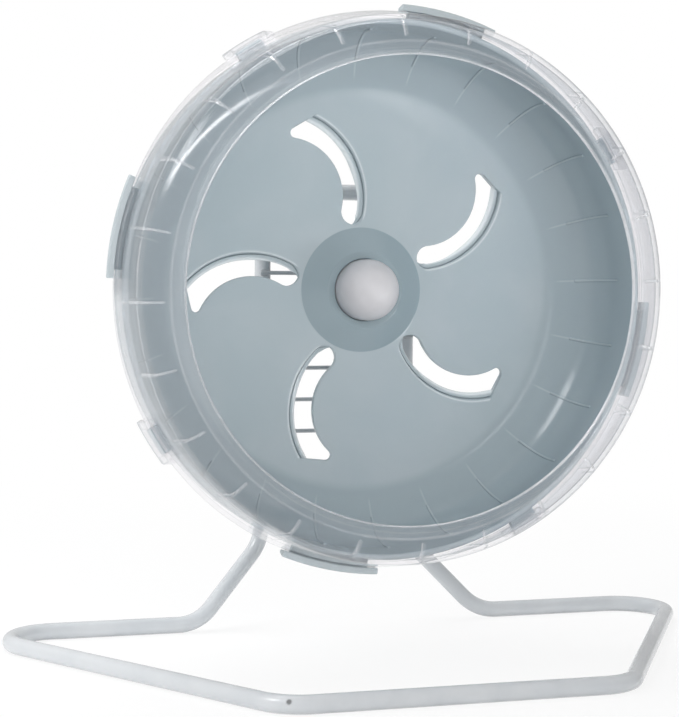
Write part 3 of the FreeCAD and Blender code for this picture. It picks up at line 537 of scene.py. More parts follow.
ground_steel, tree, place = new_finish("ground bearing steel")
drawn = Wire.node(tree, "Mapping", {}, {"Vector": place, "Scale": (0.05, 1, 0.05)})
lines = grain(tree, drawn, 0.06 * MM)
stain = grain(tree, place, 4 * MM)
close_finish(tree, lines, 0.004 * MM, {
    "Base Color": blended(tree, stain, BEARING_STEEL, BEARING_SHADE), "Metallic": 1.0,
    "Roughness": 0.12 + lines * 0.10})
dress(BEARING_NODES, ground_steel)

cage_nylon, tree, place = new_finish("cage nylon")
cloud = grain(tree, place, 2 * MM)
skin = grain(tree, place, 0.2 * MM)
close_finish(tree, skin, 0.02 * MM, {
    "Base Color": blended(tree, cloud, CAGE_CREAM, CAGE_TAN), "Roughness": 0.38 + skin * 0.15})
dress(("rear_bearing_cage", "front_bearing_cage"), cage_nylon)

phosphate, tree, place = new_finish("phosphated spring steel")
crystal = grain(tree, place, 0.12 * MM)
rub = grain(tree, place, 3 * MM)
close_finish(tree, crystal, 0.02 * MM, {
    "Base Color": blended(tree, rub.between(*RUB_PATCHES), PHOSPHATE, PHOSPHATE_GREY), "Metallic": 0.4,
    "Roughness": 0.45 + crystal * 0.2})
dress(("bearing_circlip",), phosphate)


# Wheel pan: the closed half of the drum, one injection moulding in glossy blue-grey plastic. A disc
# with five curved ramps and slots, a runway wall with low grip ribs, the hub with its bearing barrel
# and gussets, and on the outside four hooks and four catches that hold the front ring.
PAN_INSIDE = 99.6
PAN_OUTSIDE = 101.8
PAN_BEAD = 102.1
PAN_RIM = -0.9
DISC_FRONT = 38.1
DISC_BACK = 40.3
FILLET = 21.0
FILLET_STEPS = 16
FILLET_CENTRE = (PAN_INSIDE - FILLET, DISC_FRONT - FILLET)
RIB_COUNT = 24
RIB_PHASE = 12.5
RIB_WIDTH = 1.2
RIB_HEIGHT = 0.5
RIB_EDGE = 0.32 * MM
RIB_EDGE_STEPS = 2
RIB_SIDE_STEPS = 3
RIB_START = 13.6
RIB_FILLET_ANGLE = 57
ON_WALL = 0.3
PAN_OUTLINE = (
    (FILLET_CENTRE[0], DISC_FRONT, 0), (PAN_INSIDE, DISC_FRONT, FILLET, FILLET_STEPS),
    (PAN_INSIDE, RIB_START, 0), (PAN_INSIDE, PAN_RIM, 0.9), (PAN_OUTSIDE, PAN_RIM, 0.9),
    (PAN_OUTSIDE, 0.4, 0.3), (PAN_BEAD, 0.7, 0.3), (PAN_BEAD, 2.0, 0.3), (PAN_OUTSIDE, 2.4, 0.3),
    (PAN_OUTSIDE, DISC_BACK, PAN_OUTSIDE - FILLET_CENTRE[0], FILLET_STEPS),
    (FILLET_CENTRE[0], DISC_BACK, 0))
HUB_OPENING = 25.5
HUB_FRONT = 33.05
HUB_BACK = 61.85
CAP_SEAT = 12.25
BEARING_SEAT = 11
SEAT_SHOULDER = 9.6
CIRCLIP_GROOVE = 11.66
BARREL = 14.5
BARREL_OPENING = 15.8
HUB_OUTLINE = (
    (HUB_OPENING, DISC_FRONT, 0), (24.7, DISC_FRONT, 2), (15.2, HUB_FRONT, 0.6),
    (CAP_SEAT, HUB_FRONT, 0.35), (CAP_SEAT, 35.25, 0), (BEARING_SEAT, 35.25, 0),
    (BEARING_SEAT, 45.65, 0), (SEAT_SHOULDER, 45.65, 0), (SEAT_SHOULDER, 52.65, 0),
    (BEARING_SEAT, 52.65, 0), (BEARING_SEAT, 59.65, 0), (CIRCLIP_GROOVE, 59.65, 0),
    (CIRCLIP_GROOVE, 60.77, 0), (BEARING_SEAT, 60.77, 0), (BEARING_SEAT, HUB_BACK, 0.3),
    (BARREL, HUB_BACK, 0.6), (BARREL, DISC_BACK, 1.0), (BARREL_OPENING, DISC_BACK, 0))
SLOT_COUNT = 5
SLOT_CENTRE = (-30.5, 36.6)
SLOT_RADIUS = 22.85
SLOT_START = -12.0
SLOT_END = (-17.8, 68.98)
SLOT_END_SLOPE = math.radians(28.2)
SLOT_CORNERS = (0.8, 2.4)
SLOT_LIP = 0.45
SIDE_STEPS = 30
CORNER_STEPS = 7
NEAR_END_STEPS = 16
NEAR_CORNER = 1.05
RAMP_CENTRE = (-33.2, 36.5)
RAMP_RADIUS = 35.5
RAMP_START = -11.0
RAMP_RADII = (31.2, 35.6)
RAMP_TAPER = (-10.0, 24.0)
RAMP_LEAST = 0.76
RAMP_FADE = 0.05
RAMP_BACK = 4.4
RAMP_WALL = 1.2
RAMP_BURY = 1.0
RIM_ROUND = 1.7
GROOVE_WIDTH = 0.45
GROOVE_DROP = 0.85
GROOVE_FLOOR = 0.4
GROOVE_LEAN = 0.25
CREST_DROP = 0.25
CREST_ROUND = 0.15
ROLL_REACH = 2.6
ROLL_DROP = 2.1
QUARTER_TURN = [math.radians(turn) for turn in (22.5, 45, 67.5, 90)]
BLOCK_EDGE_STEPS = 3
PAN_BLUE = (0.352, 0.420, 0.452, 1)
PAN_BLUE_PALE = (0.385, 0.446, 0.477, 1)
BLUE_PATCHES = (0.3, 0.7)
# Painted shade: darker blues for the hub and for the runway wall.
HUB_SHADED_BLUE = (0.272, 0.342, 0.374, 1)
HUB_EDGE = (24.45, 24.75)
WALL_SHADED_BLUE = (0.308, 0.373, 0.404, 1)
WALL_START = (76.0, 81.0)
WALL_FACING = (0.0, 0.5)
# Painted highlights: a pale colour stands in for light on the ramps' tips and rims, the pan's rim, the
# ribs' crests and the hooks.
HIGHLIGHT_PALE = (0.72, 0.77, 0.79, 1)
SUNK_EDGE = (DISC_FRONT + 0.02, DISC_FRONT + 0.25)
SUNK_FACING = (-0.1, 0.15)
DEEP_EDGE = (DISC_FRONT + 1.6, DISC_FRONT + 2.6)
TIP_BAND = (30.5, 31.5, 32.1, 33.8)
RIM_BAND = (34.5, 35.0, 35.7, 36.2)
RIM_HIGHLIGHT_SHARE = 0.6
BAND_AHEAD = (17.0, 19.5)
BAND_MIDDLE = math.radians(29)
PAN_RIM_EDGE = (-0.75, 0.1)
PAN_RIM_HIGHLIGHT_SHARE = 0.1
CREST_EDGE = (0.2, 0.5)
CREST_RADII = (82, 86, 99.3, 99.5)
CREST_FACING = (-0.05, 0.1)
CREST_HIGHLIGHT_SHARE = 0.14
HOOK_EDGE = (104.6, 104.9)
HOOK_HIGHLIGHT_SHARE = 0.5


def wheel_angle(point):
    """Degrees clockwise from the top, seen from the mouth."""
    return math.degrees(math.atan2(point.x - AXLE.x, point.z - AXLE.z)) % 360


def wheel_radius(point):
    return math.hypot(point.x - AXLE.x, point.z - AXLE.z)


def turn_verts(bm, verts, degrees):
    bmesh.ops.rotate(bm, verts=verts, cent=AXLE, matrix=Matrix.Rotation(math.radians(degrees), 3, "Y"))


def ring_copies(bm, count):
    """Repeat all that is in a mesh evenly round the axle."""
    bmesh.ops.spin(bm, geom=bm.verts[:] + bm.edges[:] + bm.faces[:], cent=AXLE, axis=ALONG,
                   angle=2 * math.pi * (count - 1) / count, steps=count - 1, use_duplicate=True)


def ribbed_wall(corners, strip_radius, open_end):
    """Outline turned in equal sectors, each with a narrow strip in its middle for a rib."""
    pitch = 360 / RIB_COUNT
    strip = math.degrees(RIB_WIDTH / strip_radius)
    beside = (pitch - strip) / 2
    bm = outline_edges(corners, open_end)
    turn_verts(bm, bm.verts, RIB_PHASE - pitch / 2 - 90)
    front = bm.verts[:] + bm.edges[:]
    for sweep, steps in ((beside, RIB_SIDE_STEPS), (strip, 1), (beside, RIB_SIDE_STEPS)):
        front = bmesh.ops.spin(bm, geom=front, cent=AXLE, axis=ALONG, angle=math.radians(sweep),
                               steps=steps)["geom_last"]
    ring_copies(bm, RIB_COUNT)
    closed_shell(bm)
    return bm


def on_strip(face):
    """Whether a face lies in one of the narrow strips."""
    pitch = 360 / RIB_COUNT
    centre = face.calc_center_median()
    off = (wheel_angle(centre) - RIB_PHASE + pitch / 2) % pitch - pitch / 2
    return abs(off) * math.radians(1) * wheel_radius(centre) < RIB_WIDTH * MM / 4


def raise_ribs(bm, strips, away):
    """Raise ribs from strips of faces. away gives the direction out of the wall at a point."""
    made = bmesh.ops.extrude_face_region(bm, geom=strips)["geom"]
    crests = set(only(BMFace, made))
    for vert in only(BMVert, made):
        vert.co += away(vert.co) * RIB_HEIGHT * MM
    bmesh.ops.delete(bm, geom=strips, context="FACES")
    edges = {edge for face in crests for edge in face.edges
             if len([beside for beside in edge.link_faces if beside in crests]) == 1}
    round_edges(bm, edges, RIB_EDGE, RIB_EDGE_STEPS)


def radial(point, along):
    """Direction from the axle to a point, tilted along the axle by an angle."""
    out = Vector((point.x - AXLE.x, 0, point.z - AXLE.z)).normalized()
    return out * math.cos(along) + ALONG * math.sin(along)


def fillet_angle(point):
    """Degrees round the runway's fillet, 0 at the wall and 90 at the disc."""
    return math.degrees(math.atan2(point.y / MM - FILLET_CENTRE[1],
                                   wheel_radius(point) / MM - FILLET_CENTRE[0]))


def on_runway(face):
    centre = face.calc_center_median()
    radius, station = wheel_radius(centre) / MM, centre.y / MM
    if station < FILLET_CENTRE[1]:
        return station > RIB_START and abs(radius - PAN_INSIDE) < ON_WALL
    span = math.hypot(radius - FILLET_CENTRE[0], station - FILLET_CENTRE[1])
    return abs(span - FILLET) < ON_WALL and fillet_angle(centre) < RIB_FILLET_ANGLE


def runway_inward(point):
    return -radial(point, math.radians(max(0, fillet_angle(point))))


def disc_point(x, z):
    """Point on the disc's front, from the axle in millimetres."""
    return Vector((x * MM, DISC_FRONT * MM, AXLE.z + z * MM))


def arc_point(centre, radius, degrees):
    angle = math.radians(degrees)
    return disc_point(centre[0] + radius * math.cos(angle), centre[1] + radius * math.sin(angle))


def end_round(pivot, reach, line_point, along, into, corner):
    """Centre of a rounding, a corner's radius inside the slot's end and a reach away from the pivot."""
    start = line_point + into * corner - pivot
    half = start.dot(along)
    root = math.sqrt(half * half - start.dot(start) + reach * reach)
    return pivot + start + along * min(-half - root, -half + root, key=abs)


def arc_through(bm, centre, start, end, steps):
    """Edges along a circle from one point to another, the shorter way."""
    first, last = start - centre, end - centre
    bmesh.ops.spin(bm, geom=[bm.verts.new(start)], cent=centre, axis=first.cross(last),
                   angle=first.angle(last), steps=steps)


def slot_outline():
    """Face in the disc's front: two arcs, a half circle at the hub and a straight end with two roundings.

    Gives the face, the outer rounding's centre and the way along the end that leads one unit away from
    the outer arc.
    """
    bm = bmesh.new()
    line_point = disc_point(*SLOT_END)
    along = -Vector((math.cos(SLOT_END_SLOPE), 0, math.sin(SLOT_END_SLOPE)))
    into = along.cross(ALONG)
    starts, touches, rounds, slides = [], [], [], []
    for middle, radius, start, corner, side in (
            (RAMP_CENTRE, RAMP_RADIUS + SLOT_LIP, RAMP_START, SLOT_CORNERS[0], -1),
            (SLOT_CENTRE, SLOT_RADIUS - SLOT_LIP, SLOT_START, SLOT_CORNERS[1], 1)):
        pivot = disc_point(*middle)
        starts.append(arc_point(middle, radius, start))
        rounds.append(end_round(pivot, (radius + side * corner) * MM, line_point, along, into, corner * MM))
        outward = (rounds[-1] - pivot).normalized()
        on_arc = pivot + outward * radius * MM
        on_end = rounds[-1] - into * corner * MM
        arc_through(bm, pivot, starts[-1], on_arc, SIDE_STEPS)
        arc_through(bm, rounds[-1], on_arc, on_end, CORNER_STEPS)
        touches.append(bm.verts.new(on_end))
        slides.append(along / -along.dot(outward))
    bmesh.ops.spin(bm, geom=[bm.verts.new(starts[0])], cent=(starts[0] + starts[1]) / 2, axis=ALONG,
                   angle=math.pi, steps=NEAR_END_STEPS)
    bm.edges.new(touches)
    bmesh.ops.remove_doubles(bm, verts=bm.verts, dist=NO_LENGTH)
    bmesh.ops.contextual_create(bm, geom=bm.edges[:])
    face = bm.faces[:][0]
    face.normal_update()
    if face.normal.y > 0:
        bmesh.ops.reverse_faces(bm, faces=[face])
    return bm, face, rounds[0], slides[0]


def smooth_share(value, low, high):
    share = min(1, max(0, (value - low) / (high - low)))
    return share * share * (3 - 2 * share)


def ramp_share(point):
    """How much of the ramp a point of the slot's outline has: all on the convex side, less at the hub."""
    share = smooth_share((point - disc_point(*RAMP_CENTRE)).length / MM, *RAMP_RADII)
    off = point - disc_point(*SLOT_CENTRE)
    taper = smooth_share(math.degrees(math.atan2(off.z, off.x)), *RAMP_TAPER)
    share *= RAMP_LEAST + (1 - RAMP_LEAST) * taper
    return share if share > RAMP_FADE else 0


def lining_profile(share):
    """Inset and depth of the lining: the rim's rounding, a groove, the rolled ramp and the disc's back."""
    lip = SLOT_LIP + (RIM_ROUND - SLOT_LIP) * share
    crest = lip + GROOVE_WIDTH * share
    wall = DISC_BACK - DISC_FRONT
    back = max(wall, RAMP_BACK * share)
    rim = [(lip * math.sin(turn), lip * (1 - math.cos(turn))) for turn in QUARTER_TURN]
    groove = [(lip, lip + GROOVE_DROP * share),
              (lip + GROOVE_FLOOR * GROOVE_WIDTH * share, lip + GROOVE_DROP * share),
              (crest - GROOVE_LEAN * GROOVE_WIDTH * share, lip + (CREST_DROP + CREST_ROUND) * share),
              (crest, lip + CREST_DROP * share)]
    reach = ROLL_REACH - GROOVE_WIDTH
    roll = [(crest + reach * share * math.sin(turn),
             lip + (CREST_DROP + ROLL_DROP * (1 - math.cos(turn))) * share) for turn in QUARTER_TURN]
    return rim + groove + roll + [
        (lip + ROLL_REACH * share, back), (lip + (ROLL_REACH - RAMP_WALL) * share, back),
        (lip * (1 - share) - RAMP_BURY * share, wall)]


def ramped_slot():
    """Lining of one slot, from its rounded rim over the ramp on its convex side to the disc's back."""
    bm, well, rounding, slide = slot_outline()
    homes = [vert.co.copy() for vert in well.verts]
    inward = [-ALONG.cross(after - before).normalized() for before, after in zip(
        homes[-1:] + homes[:-1], homes[1:] + homes[:1])]
    inward = [slide if (home - rounding).length < NEAR_CORNER * SLOT_CORNERS[0] * MM else across
              for home, across in zip(homes, inward)]
    profiles = [lining_profile(ramp_share(home)) for home in homes]
    for stage in zip(*profiles):
        well = bmesh.ops.extrude_discrete_faces(bm, faces=[well])["faces"][0]
        for vert, home, across, (inset, depth) in zip(well.verts, homes, inward, stage):
            vert.co = home + across * inset * MM + ALONG * depth * MM
    bmesh.ops.delete(bm, geom=[well], context="FACES_ONLY")
    bmesh.ops.remove_doubles(bm, verts=bm.verts, dist=NO_LENGTH)
    bmesh.ops.dissolve_degenerate(bm, edges=bm.edges, dist=NO_LENGTH)
    return bm


def fill_disc(bm, station):
    """Close the flat of the disc between the hub, the slots and the wall."""
    rims = [edge for edge in bm.edges if len(edge.link_faces) == 1 and all(
        abs(vert.co.y - station * MM) < NO_LENGTH for vert in edge.verts)]
    bmesh.ops.triangle_fill(bm, edges=rims, use_beauty=True)


def arc_block(corners, middle, sweep, steps, rounding):
    """Short block along the drum: an outline spun through a few degrees and closed at both ends."""
    bm, _ = rounded_outline(corners)
    turn_verts(bm, bm.verts, middle - sweep / 2 - 90)
    edges = bm.edges[:]
    made = bmesh.ops.spin(bm, geom=edges, cent=AXLE, axis=ALONG, angle=math.radians(sweep), steps=steps)
    bmesh.ops.contextual_create(bm, geom=only(BMEdge, made["geom_last"]))
    closed_shell(bm)
    if rounding:
        caps = [face for face in bm.faces if len(face.verts) == len(edges)]
        round_edges(bm, {edge for cap in caps for edge in cap.edges}, rounding * MM, BLOCK_EDGE_STEPS)
    return bm


def wheel_place(tree, place):
    """Radius, station along the axle and distance from the nearest rib's middle, in millimetres."""
    side, station, rise = (
        Wire.node(tree, "SeparateXYZ", {}, {0: place}, output=axis) * (1 / MM) for axis in "XYZ")
    rise = rise - AXLE.z / MM
    radius = (side * side + rise * rise) ** 0.5
    turn = side.reckon("ARCTAN2", side, rise) - math.radians(RIB_PHASE)
    return radius, station, side.reckon("PINGPONG", turn, math.pi / RIB_COUNT) * radius


pan_plastic, tree, place = new_finish("blue-grey moulded plastic")
radius, station, beside_rib = wheel_place(tree, place)
flow = Wire.node(tree, "TexNoise", {}, {
    "Vector": place, "Scale": 1 / (38 * MM), "Detail": 3.0, "Distortion": 0.6})
skin = grain(tree, place, 3.2 * MM)
speck = grain(tree, place, 0.30 * MM, 1.0)
flat = Wire.node(tree, "Mapping", {}, {"Vector": place, "Location": (0, 0, -AXLE.z), "Scale": (1, 0, 1)})
facing = Wire.node(tree, "SeparateXYZ", {}, {0: Wire.node(tree, "TexCoord", output="Normal")}, output="Y")
sunk = station.between(*SUNK_EDGE) * (1 - facing.between(*SUNK_FACING))
deep = station.between(*DEEP_EDGE)
# Painted highlights: the pale colour's share on the ramps, the rims, the ribs' crests and the hooks.
painted_highlight = 0.0
for turn in range(SLOT_COUNT):
    swing = Matrix.Rotation(2 * math.pi * turn / SLOT_COUNT, 3, "Y")
    middle = swing @ Vector((RAMP_CENTRE[0], 0, RAMP_CENTRE[1])) * MM
    forward = swing @ Vector((math.cos(BAND_MIDDLE), 0, math.sin(BAND_MIDDLE)))
    off = Wire.node(tree, "VectorMath", {"operation": "SUBTRACT"}, {0: flat, 1: middle})
    gap, ahead = (Wire.node(tree, "VectorMath", {"operation": operation}, {0: off, 1: forward},
                            output="Value") * (1 / MM) for operation in ("LENGTH", "DOT_PRODUCT"))
    edges = gap.within(TIP_BAND) * deep + gap.within(RIM_BAND) * RIM_HIGHLIGHT_SHARE
    painted_highlight = painted_highlight + edges * ahead.between(*BAND_AHEAD)
crest = (1 - beside_rib.between(*CREST_EDGE)) * radius.within(CREST_RADII)
crest = crest * (1 - facing.between(*CREST_FACING))
pan_rim = 1 - station.between(*PAN_RIM_EDGE)
hook = radius.between(*HOOK_EDGE)
painted_highlight = painted_highlight * sunk + pan_rim * PAN_RIM_HIGHLIGHT_SHARE + crest * CREST_HIGHLIGHT_SHARE + hook * HOOK_HIGHLIGHT_SHARE
painted_highlight = painted_highlight * (0.75 + flow * 0.4)
# Painted shade: the runway wall, except where it faces the back, and the whole hub get a darker blue than
# the disc.
wall = radius.between(*WALL_START) * (1 - facing.between(*WALL_FACING))
painted_light_share = 1 - radius.between(*HUB_EDGE)
blue = blended(tree, flow.between(*BLUE_PATCHES), PAN_BLUE, PAN_BLUE_PALE)
blue = blended(tree, painted_light_share, blended(tree, wall, blue, WALL_SHADED_BLUE), HUB_SHADED_BLUE)
close_finish(tree, skin + speck * 0.25, 0.012 * MM, {
    "Base Color": blended(tree, painted_highlight, blue, HIGHLIGHT_PALE),
    "Roughness": 0.09 + flow * 0.05 + speck * 0.04, "IOR": 1.53})

pan = ribbed_wall(PAN_OUTLINE, PAN_INSIDE, open_end=True)
raise_ribs(pan, [face for face in pan.faces if on_strip(face) and on_runway(face)], runway_inward)
absorb(pan, turned(HUB_OUTLINE, open_end=True))
slots = ramped_slot()
ring_copies(slots, SLOT_COUNT)
absorb(pan, slots)
bmesh.ops.remove_doubles(pan, verts=pan.verts, dist=NO_LENGTH)
fill_disc(pan, DISC_FRONT)
fill_disc(pan, DISC_BACK)
closed_shell(pan)

# Hooks and catches: the hooks are ledges on webs outside the rim that the ring's edge slides under,
# and the catches are wedges that snap into its loops. They are moulded with the pan.
CLIP_COUNT = 4
HOOK_MIDDLE = 12.5
CATCH_MIDDLE = 58.2
LEDGE_OUTLINE = ((104.95, 1.05, 0.3), (107.8, 1.05, 1.0), (106.7, 6.85, 0.7), (105.4, 6.85, 0.3))
WEB_OUTLINE = ((101.4, 3.95, 0.0), (105.9, 3.95, 0.0), (105.9, 6.85, 0.0), (101.4, 6.85, 0.6))
CATCH_OUTLINE = ((101.4, -0.15, 0.0), (104.27, -0.15, 0.3), (105.865, 3.5, 0.4), (101.4, 3.5, 0.0))
clips = arc_block(LEDGE_OUTLINE, HOOK_MIDDLE, sweep=20.5, steps=16, rounding=0.7)
absorb(clips, arc_block(WEB_OUTLINE, HOOK_MIDDLE, sweep=17, steps=14, rounding=0.4))
absorb(clips, arc_block(CATCH_OUTLINE, CATCH_MIDDLE, sweep=5.9, steps=6, rounding=0.3))
ring_copies(clips, CLIP_COUNT)
absorb(pan, clips)

# Gussets: five thin triangular webs behind the disc that brace the bearing barrel, with rounded edges.
# They are moulded with the pan too.
GUSSET_COUNT = 5
GUSSET_MIDDLE = 30
GUSSET_CORNERS = ((14.1, 39.9), (23.5, 39.9), (14.1, 54.3))
GUSSET_THICK = 2 * MM
GUSSET_EDGE = 0.4 * MM
gussets = bmesh.new()
gussets.faces.new([gussets.verts.new((radius * MM, station * MM, AXLE.z - GUSSET_THICK / 2))
                   for radius, station in GUSSET_CORNERS])
made = bmesh.ops.extrude_face_region(gussets, geom=gussets.faces[:])["geom"]
bmesh.ops.translate(gussets, verts=only(BMVert, made), vec=(0, 0, GUSSET_THICK))
closed_shell(gussets)
soften(gussets, GUSSET_EDGE)
turn_verts(gussets, gussets.verts, GUSSET_MIDDLE - 90)
ring_copies(gussets, GUSSET_COUNT)
absorb(pan, gussets)
wheel = finished_piece("pan_moulding", pan, pan_plastic)
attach(wheel, "wheel")
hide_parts("wheel_pan")


# Hub cap: a domed plug of light grey plastic that snaps into the hub's collar over the lock nut.
# Thin injection moulding with a soft satin face.
CAP_OUTSIDE = 12
CAP_INSIDE = 10.2
CAP_FRONT = 16.65
CAP_FRONT_INSIDE = 18.45
CAP_OUTLINE = (
    (0, CAP_FRONT, 0), (CAP_OUTSIDE, CAP_FRONT, 11.99, 20), (CAP_OUTSIDE, 34.95, 0.25),
    (10.8, 34.95, 0), (10.75, 38.55, 0.2), (9.35, 38.55, 0.2), (9.35, 33.2, 0), (CAP_INSIDE, 33.0, 0),
    (CAP_INSIDE, CAP_FRONT_INSIDE, 9.8, 12), (0, CAP_FRONT_INSIDE, 0))
CAP_GREY = (0.545, 0.540, 0.560, 1)
CAP_GREY_PALE = (0.585, 0.580, 0.600, 1)
CAP_PATCHES = (0.3, 0.7)

cap_plastic, tree, place = new_finish("light grey cap plastic")
cloud = grain(tree, place, 9 * MM, 3.0)
satin = grain(tree, place, 0.35 * MM)
close_finish(tree, satin, 0.015 * MM, {
    "Base Color": blended(tree, cloud.between(*CAP_PATCHES), CAP_GREY, CAP_GREY_PALE),
    "Roughness": 0.26 + satin * 0.12})
bm = turned(CAP_OUTLINE, open_end=True)
hub_cap = finished_piece("domed_cap", bm, cap_plastic)
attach(hub_cap, "wheel")
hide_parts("hub_cap")


# Front ring: the open half of the drum, moulded in clear plastic. A tapered wall with grip ribs in
# line with the pan's, a sloping lip with a beaded mouth edge, and four loops that snap over the pan's
# catches.
RING_BACK = 3.45
RING_BACK_INSIDE = 103.172
RING_RIB_LIP = (91.807, -26.971)
RING_RIB_WALL = (101.435, -6.4)
RING_CORNER_IN = (98.293, -24.218)
MOUTH = 84.8
MOUTH_FRONT = -31.67
MOUTH_BACK = -29.07
RING_OUTLINE = (
    (105, RING_BACK, 0.4, 3), (99.896, -25.494, 8, 10), (87.7, -30.671, 0.4, 2),
    (87.0, MOUTH_FRONT, 0.6, 3), (MOUTH, MOUTH_FRONT, 1.25, 5), (MOUTH, MOUTH_BACK, 1.25, 5),
    (86.8, MOUTH_BACK, 0.4, 2), RING_RIB_LIP + (0,), RING_CORNER_IN + (6.2, 8), RING_RIB_WALL + (0,),
    (RING_BACK_INSIDE, RING_BACK, 0.4, 3))
RING_STRIP_RADIUS = 100
LIP_INSIDE = (86.1, -29.394)
LIP_SLOPE = math.radians(23)
WALL_TAPER = math.radians(10)
ON_RING = 0.5
CORNER_CLEAR = (0.4, 0.2)
CORNER_TURN_START = -26.2
CORNER_TURN_LENGTH = 5.0
LOOP_FRONT = -5.85
LOOP_BACK = 6.15
LOOP_OUTLINE = ((104.0, LOOP_FRONT, 0), (105.35, LOOP_FRONT, 0.6), (107.45, LOOP_BACK, 0.6),
                (105.0, LOOP_BACK, 0.5))
WINDOW_FRONT = -0.6
WINDOW_BACK = 3.95
WINDOW_OUTLINE = ((99.0, WINDOW_FRONT, 0), (111, WINDOW_FRONT, 0), (111, WINDOW_BACK, 0),
                  (99.0, WINDOW_BACK, 0))
CLEAR_TINT = (0.920, 0.917, 0.930, 1)
CLEAR_TINT_WARM = (0.900, 0.892, 0.908, 1)
# Colours of the painted shade outline and of the plastic that carries the painted highlights.
CLEAR_PAINTED_SHADE = (0.42, 0.43, 0.46, 1)
HIGHLIGHT_WHITE = (0.93, 0.93, 0.945, 1)
# Painted highlights: the bead, a line round the lip, the lip towards the mouth, the front corner, the ribs,
# the back edge and the loops mix towards a whiter, hazier plastic, and so does the wall at a slant. Painted
# shade darkens the lip and the rim at a slant.
BEAD_EDGE = (85.2, 85.8)
FLANGE_BAND = (89.4, 89.8, 90.3, 90.7)
CORNER_BAND = (-22.3, -21.8, -20.9, -20.4)
CORNER_EDGE = (99.5, 99.9)
RING_RIB_EDGE = (0.25, 0.65)
RING_RIB_START = (91.6, 92.4)
RING_RIB_END = (-7, -6)
BACK_EDGE = (2.5, 3.2)
LOOP_EDGE = (105.1, 105.5)
WALL_EDGE = (-20, -18)
GRAZING = (0.84, 0.97)
RIM_GRAZING = (0.55, 0.92)


def on_ring_inside(face):
    centre = face.calc_center_median()
    radius, station = wheel_radius(centre) / MM, centre.y / MM
    if not RING_RIB_LIP[1] < station < RING_RIB_WALL[1] or radius < RING_RIB_LIP[0]:
        return False
    wall = RING_BACK_INSIDE - (RING_BACK - station) * math.tan(WALL_TAPER)
    lip = LIP_INSIDE[1] + (radius - LIP_INSIDE[0]) * math.tan(LIP_SLOPE)
    in_corner = radius < wall - CORNER_CLEAR[0] and station > lip + CORNER_CLEAR[1]
    return abs(radius - wall) < ON_RING or abs(station - lip) < ON_RING or in_corner


def ring_inward(point):
    """Out of the lip or the wall towards the drum's inside, turning over at the front corner."""
    turn = min(1, max(0, (point.y / MM - CORNER_TURN_START) / CORNER_TURN_LENGTH))
    lip = -radial(point, 0) * math.sin(LIP_SLOPE) + ALONG * math.cos(LIP_SLOPE)
    wall = -radial(point, 0) * math.cos(WALL_TAPER) + ALONG * math.sin(WALL_TAPER)
    return (lip * (1 - turn) + wall * turn).normalized()


def carved(bm, tool, operation):
    """Join or cut a closed mesh with another one."""
    pair = []
    for shell in (bm, tool):
        mesh = bpy.data.meshes.new("shell")
        shell.to_mesh(mesh)
        shell.free()
        holder = bpy.data.objects.new("shell", mesh)
        bpy.context.scene.collection.objects.link(holder)
        pair.append(holder)
    step = pair[0].modifiers.new("carve", "BOOLEAN")
    step.operation = operation
    step.solver = "EXACT"
    step.object = pair[1]
    result = bpy.data.meshes.new_from_object(
        pair[0].evaluated_get(bpy.context.evaluated_depsgraph_get()))
    out = bmesh.new()
    out.from_mesh(result)
    bpy.data.meshes.remove(result)
    for holder in pair:
        mesh = holder.data
        bpy.data.objects.remove(holder)
        bpy.data.meshes.remove(mesh)
    return out


clear_plastic, tree, place = new_finish("clear moulded plastic")
wave = grain(tree, place, 7 * MM, 1.0)
haze = grain(tree, place, 22 * MM, 3.0)
scuff = grain(tree, place, 0.5 * MM)
radius, station, beside_rib = wheel_place(tree, place)
bead = 1 - radius.between(*BEAD_EDGE)
flange = radius.within(FLANGE_BAND)
mouth_side = 1 - radius.between(*FLANGE_BAND[1:3])
corner = station.within(CORNER_BAND) * radius.between(*CORNER_EDGE)
rib = (1 - beside_rib.between(*RING_RIB_EDGE)) * radius.between(*RING_RIB_START)
rib = rib * (1 - station.between(*RING_RIB_END))
back = station.between(*BACK_EDGE)
loop = radius.between(*LOOP_EDGE)
wall = station.between(*WALL_EDGE)
slant = Wire.node(tree, "LayerWeight", {}, {"Blend": 0.5}, output="Facing")
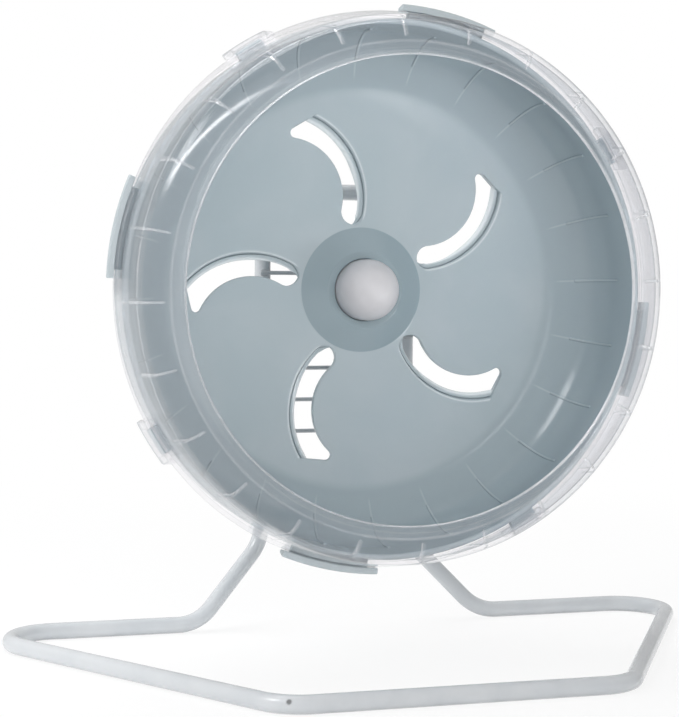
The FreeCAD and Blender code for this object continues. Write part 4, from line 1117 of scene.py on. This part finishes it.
# Painted highlights: share of whiter, hazier plastic at the thick places and on the wall at a slant.
painted_light_share = bead * 0.6 + flange * 0.16 + mouth_side * 0.04 + corner * 0.4 + rib * 0.4
painted_light_share = painted_light_share + back * 0.2 + loop * 0.25 + slant.between(*GRAZING) * wall * 0.5
# Painted shade: a dark outline on the lip and the rim at a slant.
outline = slant.between(*RIM_GRAZING) * (1 - wall * (1 - back))
tint = blended(tree, haze, CLEAR_TINT, CLEAR_TINT_WARM)
bump = Wire.node(tree, "Bump", {}, {
    "Height": wave + scuff * 0.02, "Distance": 0.02 * MM, "Strength": 1.0})
thin_wall = Wire.node(tree, "BsdfPrincipled", {}, {
    "Base Color": blended(tree, outline, tint, CLEAR_PAINTED_SHADE),
    "Roughness": 0.02 + haze * 0.03 + scuff * 0.02, "Transmission Weight": 1.0, "IOR": 1.0,
    "Coat Weight": 1.0, "Coat IOR": 1.45, "Coat Roughness": 0.12, "Normal": bump})
# Whiter, hazier plastic for the painted highlights.
highlight_edge = Wire.node(tree, "BsdfPrincipled", {}, {
    "Base Color": HIGHLIGHT_WHITE, "Roughness": 0.10 + scuff * 0.04, "Transmission Weight": 0.7, "IOR": 1.42,
    "Normal": bump})
mixed = Wire.node(tree, "MixShader", {}, {
    0: painted_light_share.reckon("MINIMUM", painted_light_share, 1.0), 1: thin_wall, 2: highlight_edge})
Wire.node(tree, "OutputMaterial", {}, {"Surface": mixed})

ring = ribbed_wall(RING_OUTLINE, RING_STRIP_RADIUS, open_end=False)
raise_ribs(ring, [face for face in ring.faces if on_strip(face) and on_ring_inside(face)], ring_inward)
loops = arc_block(LOOP_OUTLINE, CATCH_MIDDLE, sweep=10, steps=10, rounding=0.5)
ring_copies(loops, CLIP_COUNT)
windows = arc_block(WINDOW_OUTLINE, CATCH_MIDDLE, sweep=6.4, steps=7, rounding=0)
ring_copies(windows, CLIP_COUNT)
ring = carved(carved(ring, loops, "UNION"), windows, "DIFFERENCE")
front_ring = finished_piece("clear_ring", ring, clear_plastic)
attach(front_ring, "wheel")
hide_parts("front_ring")
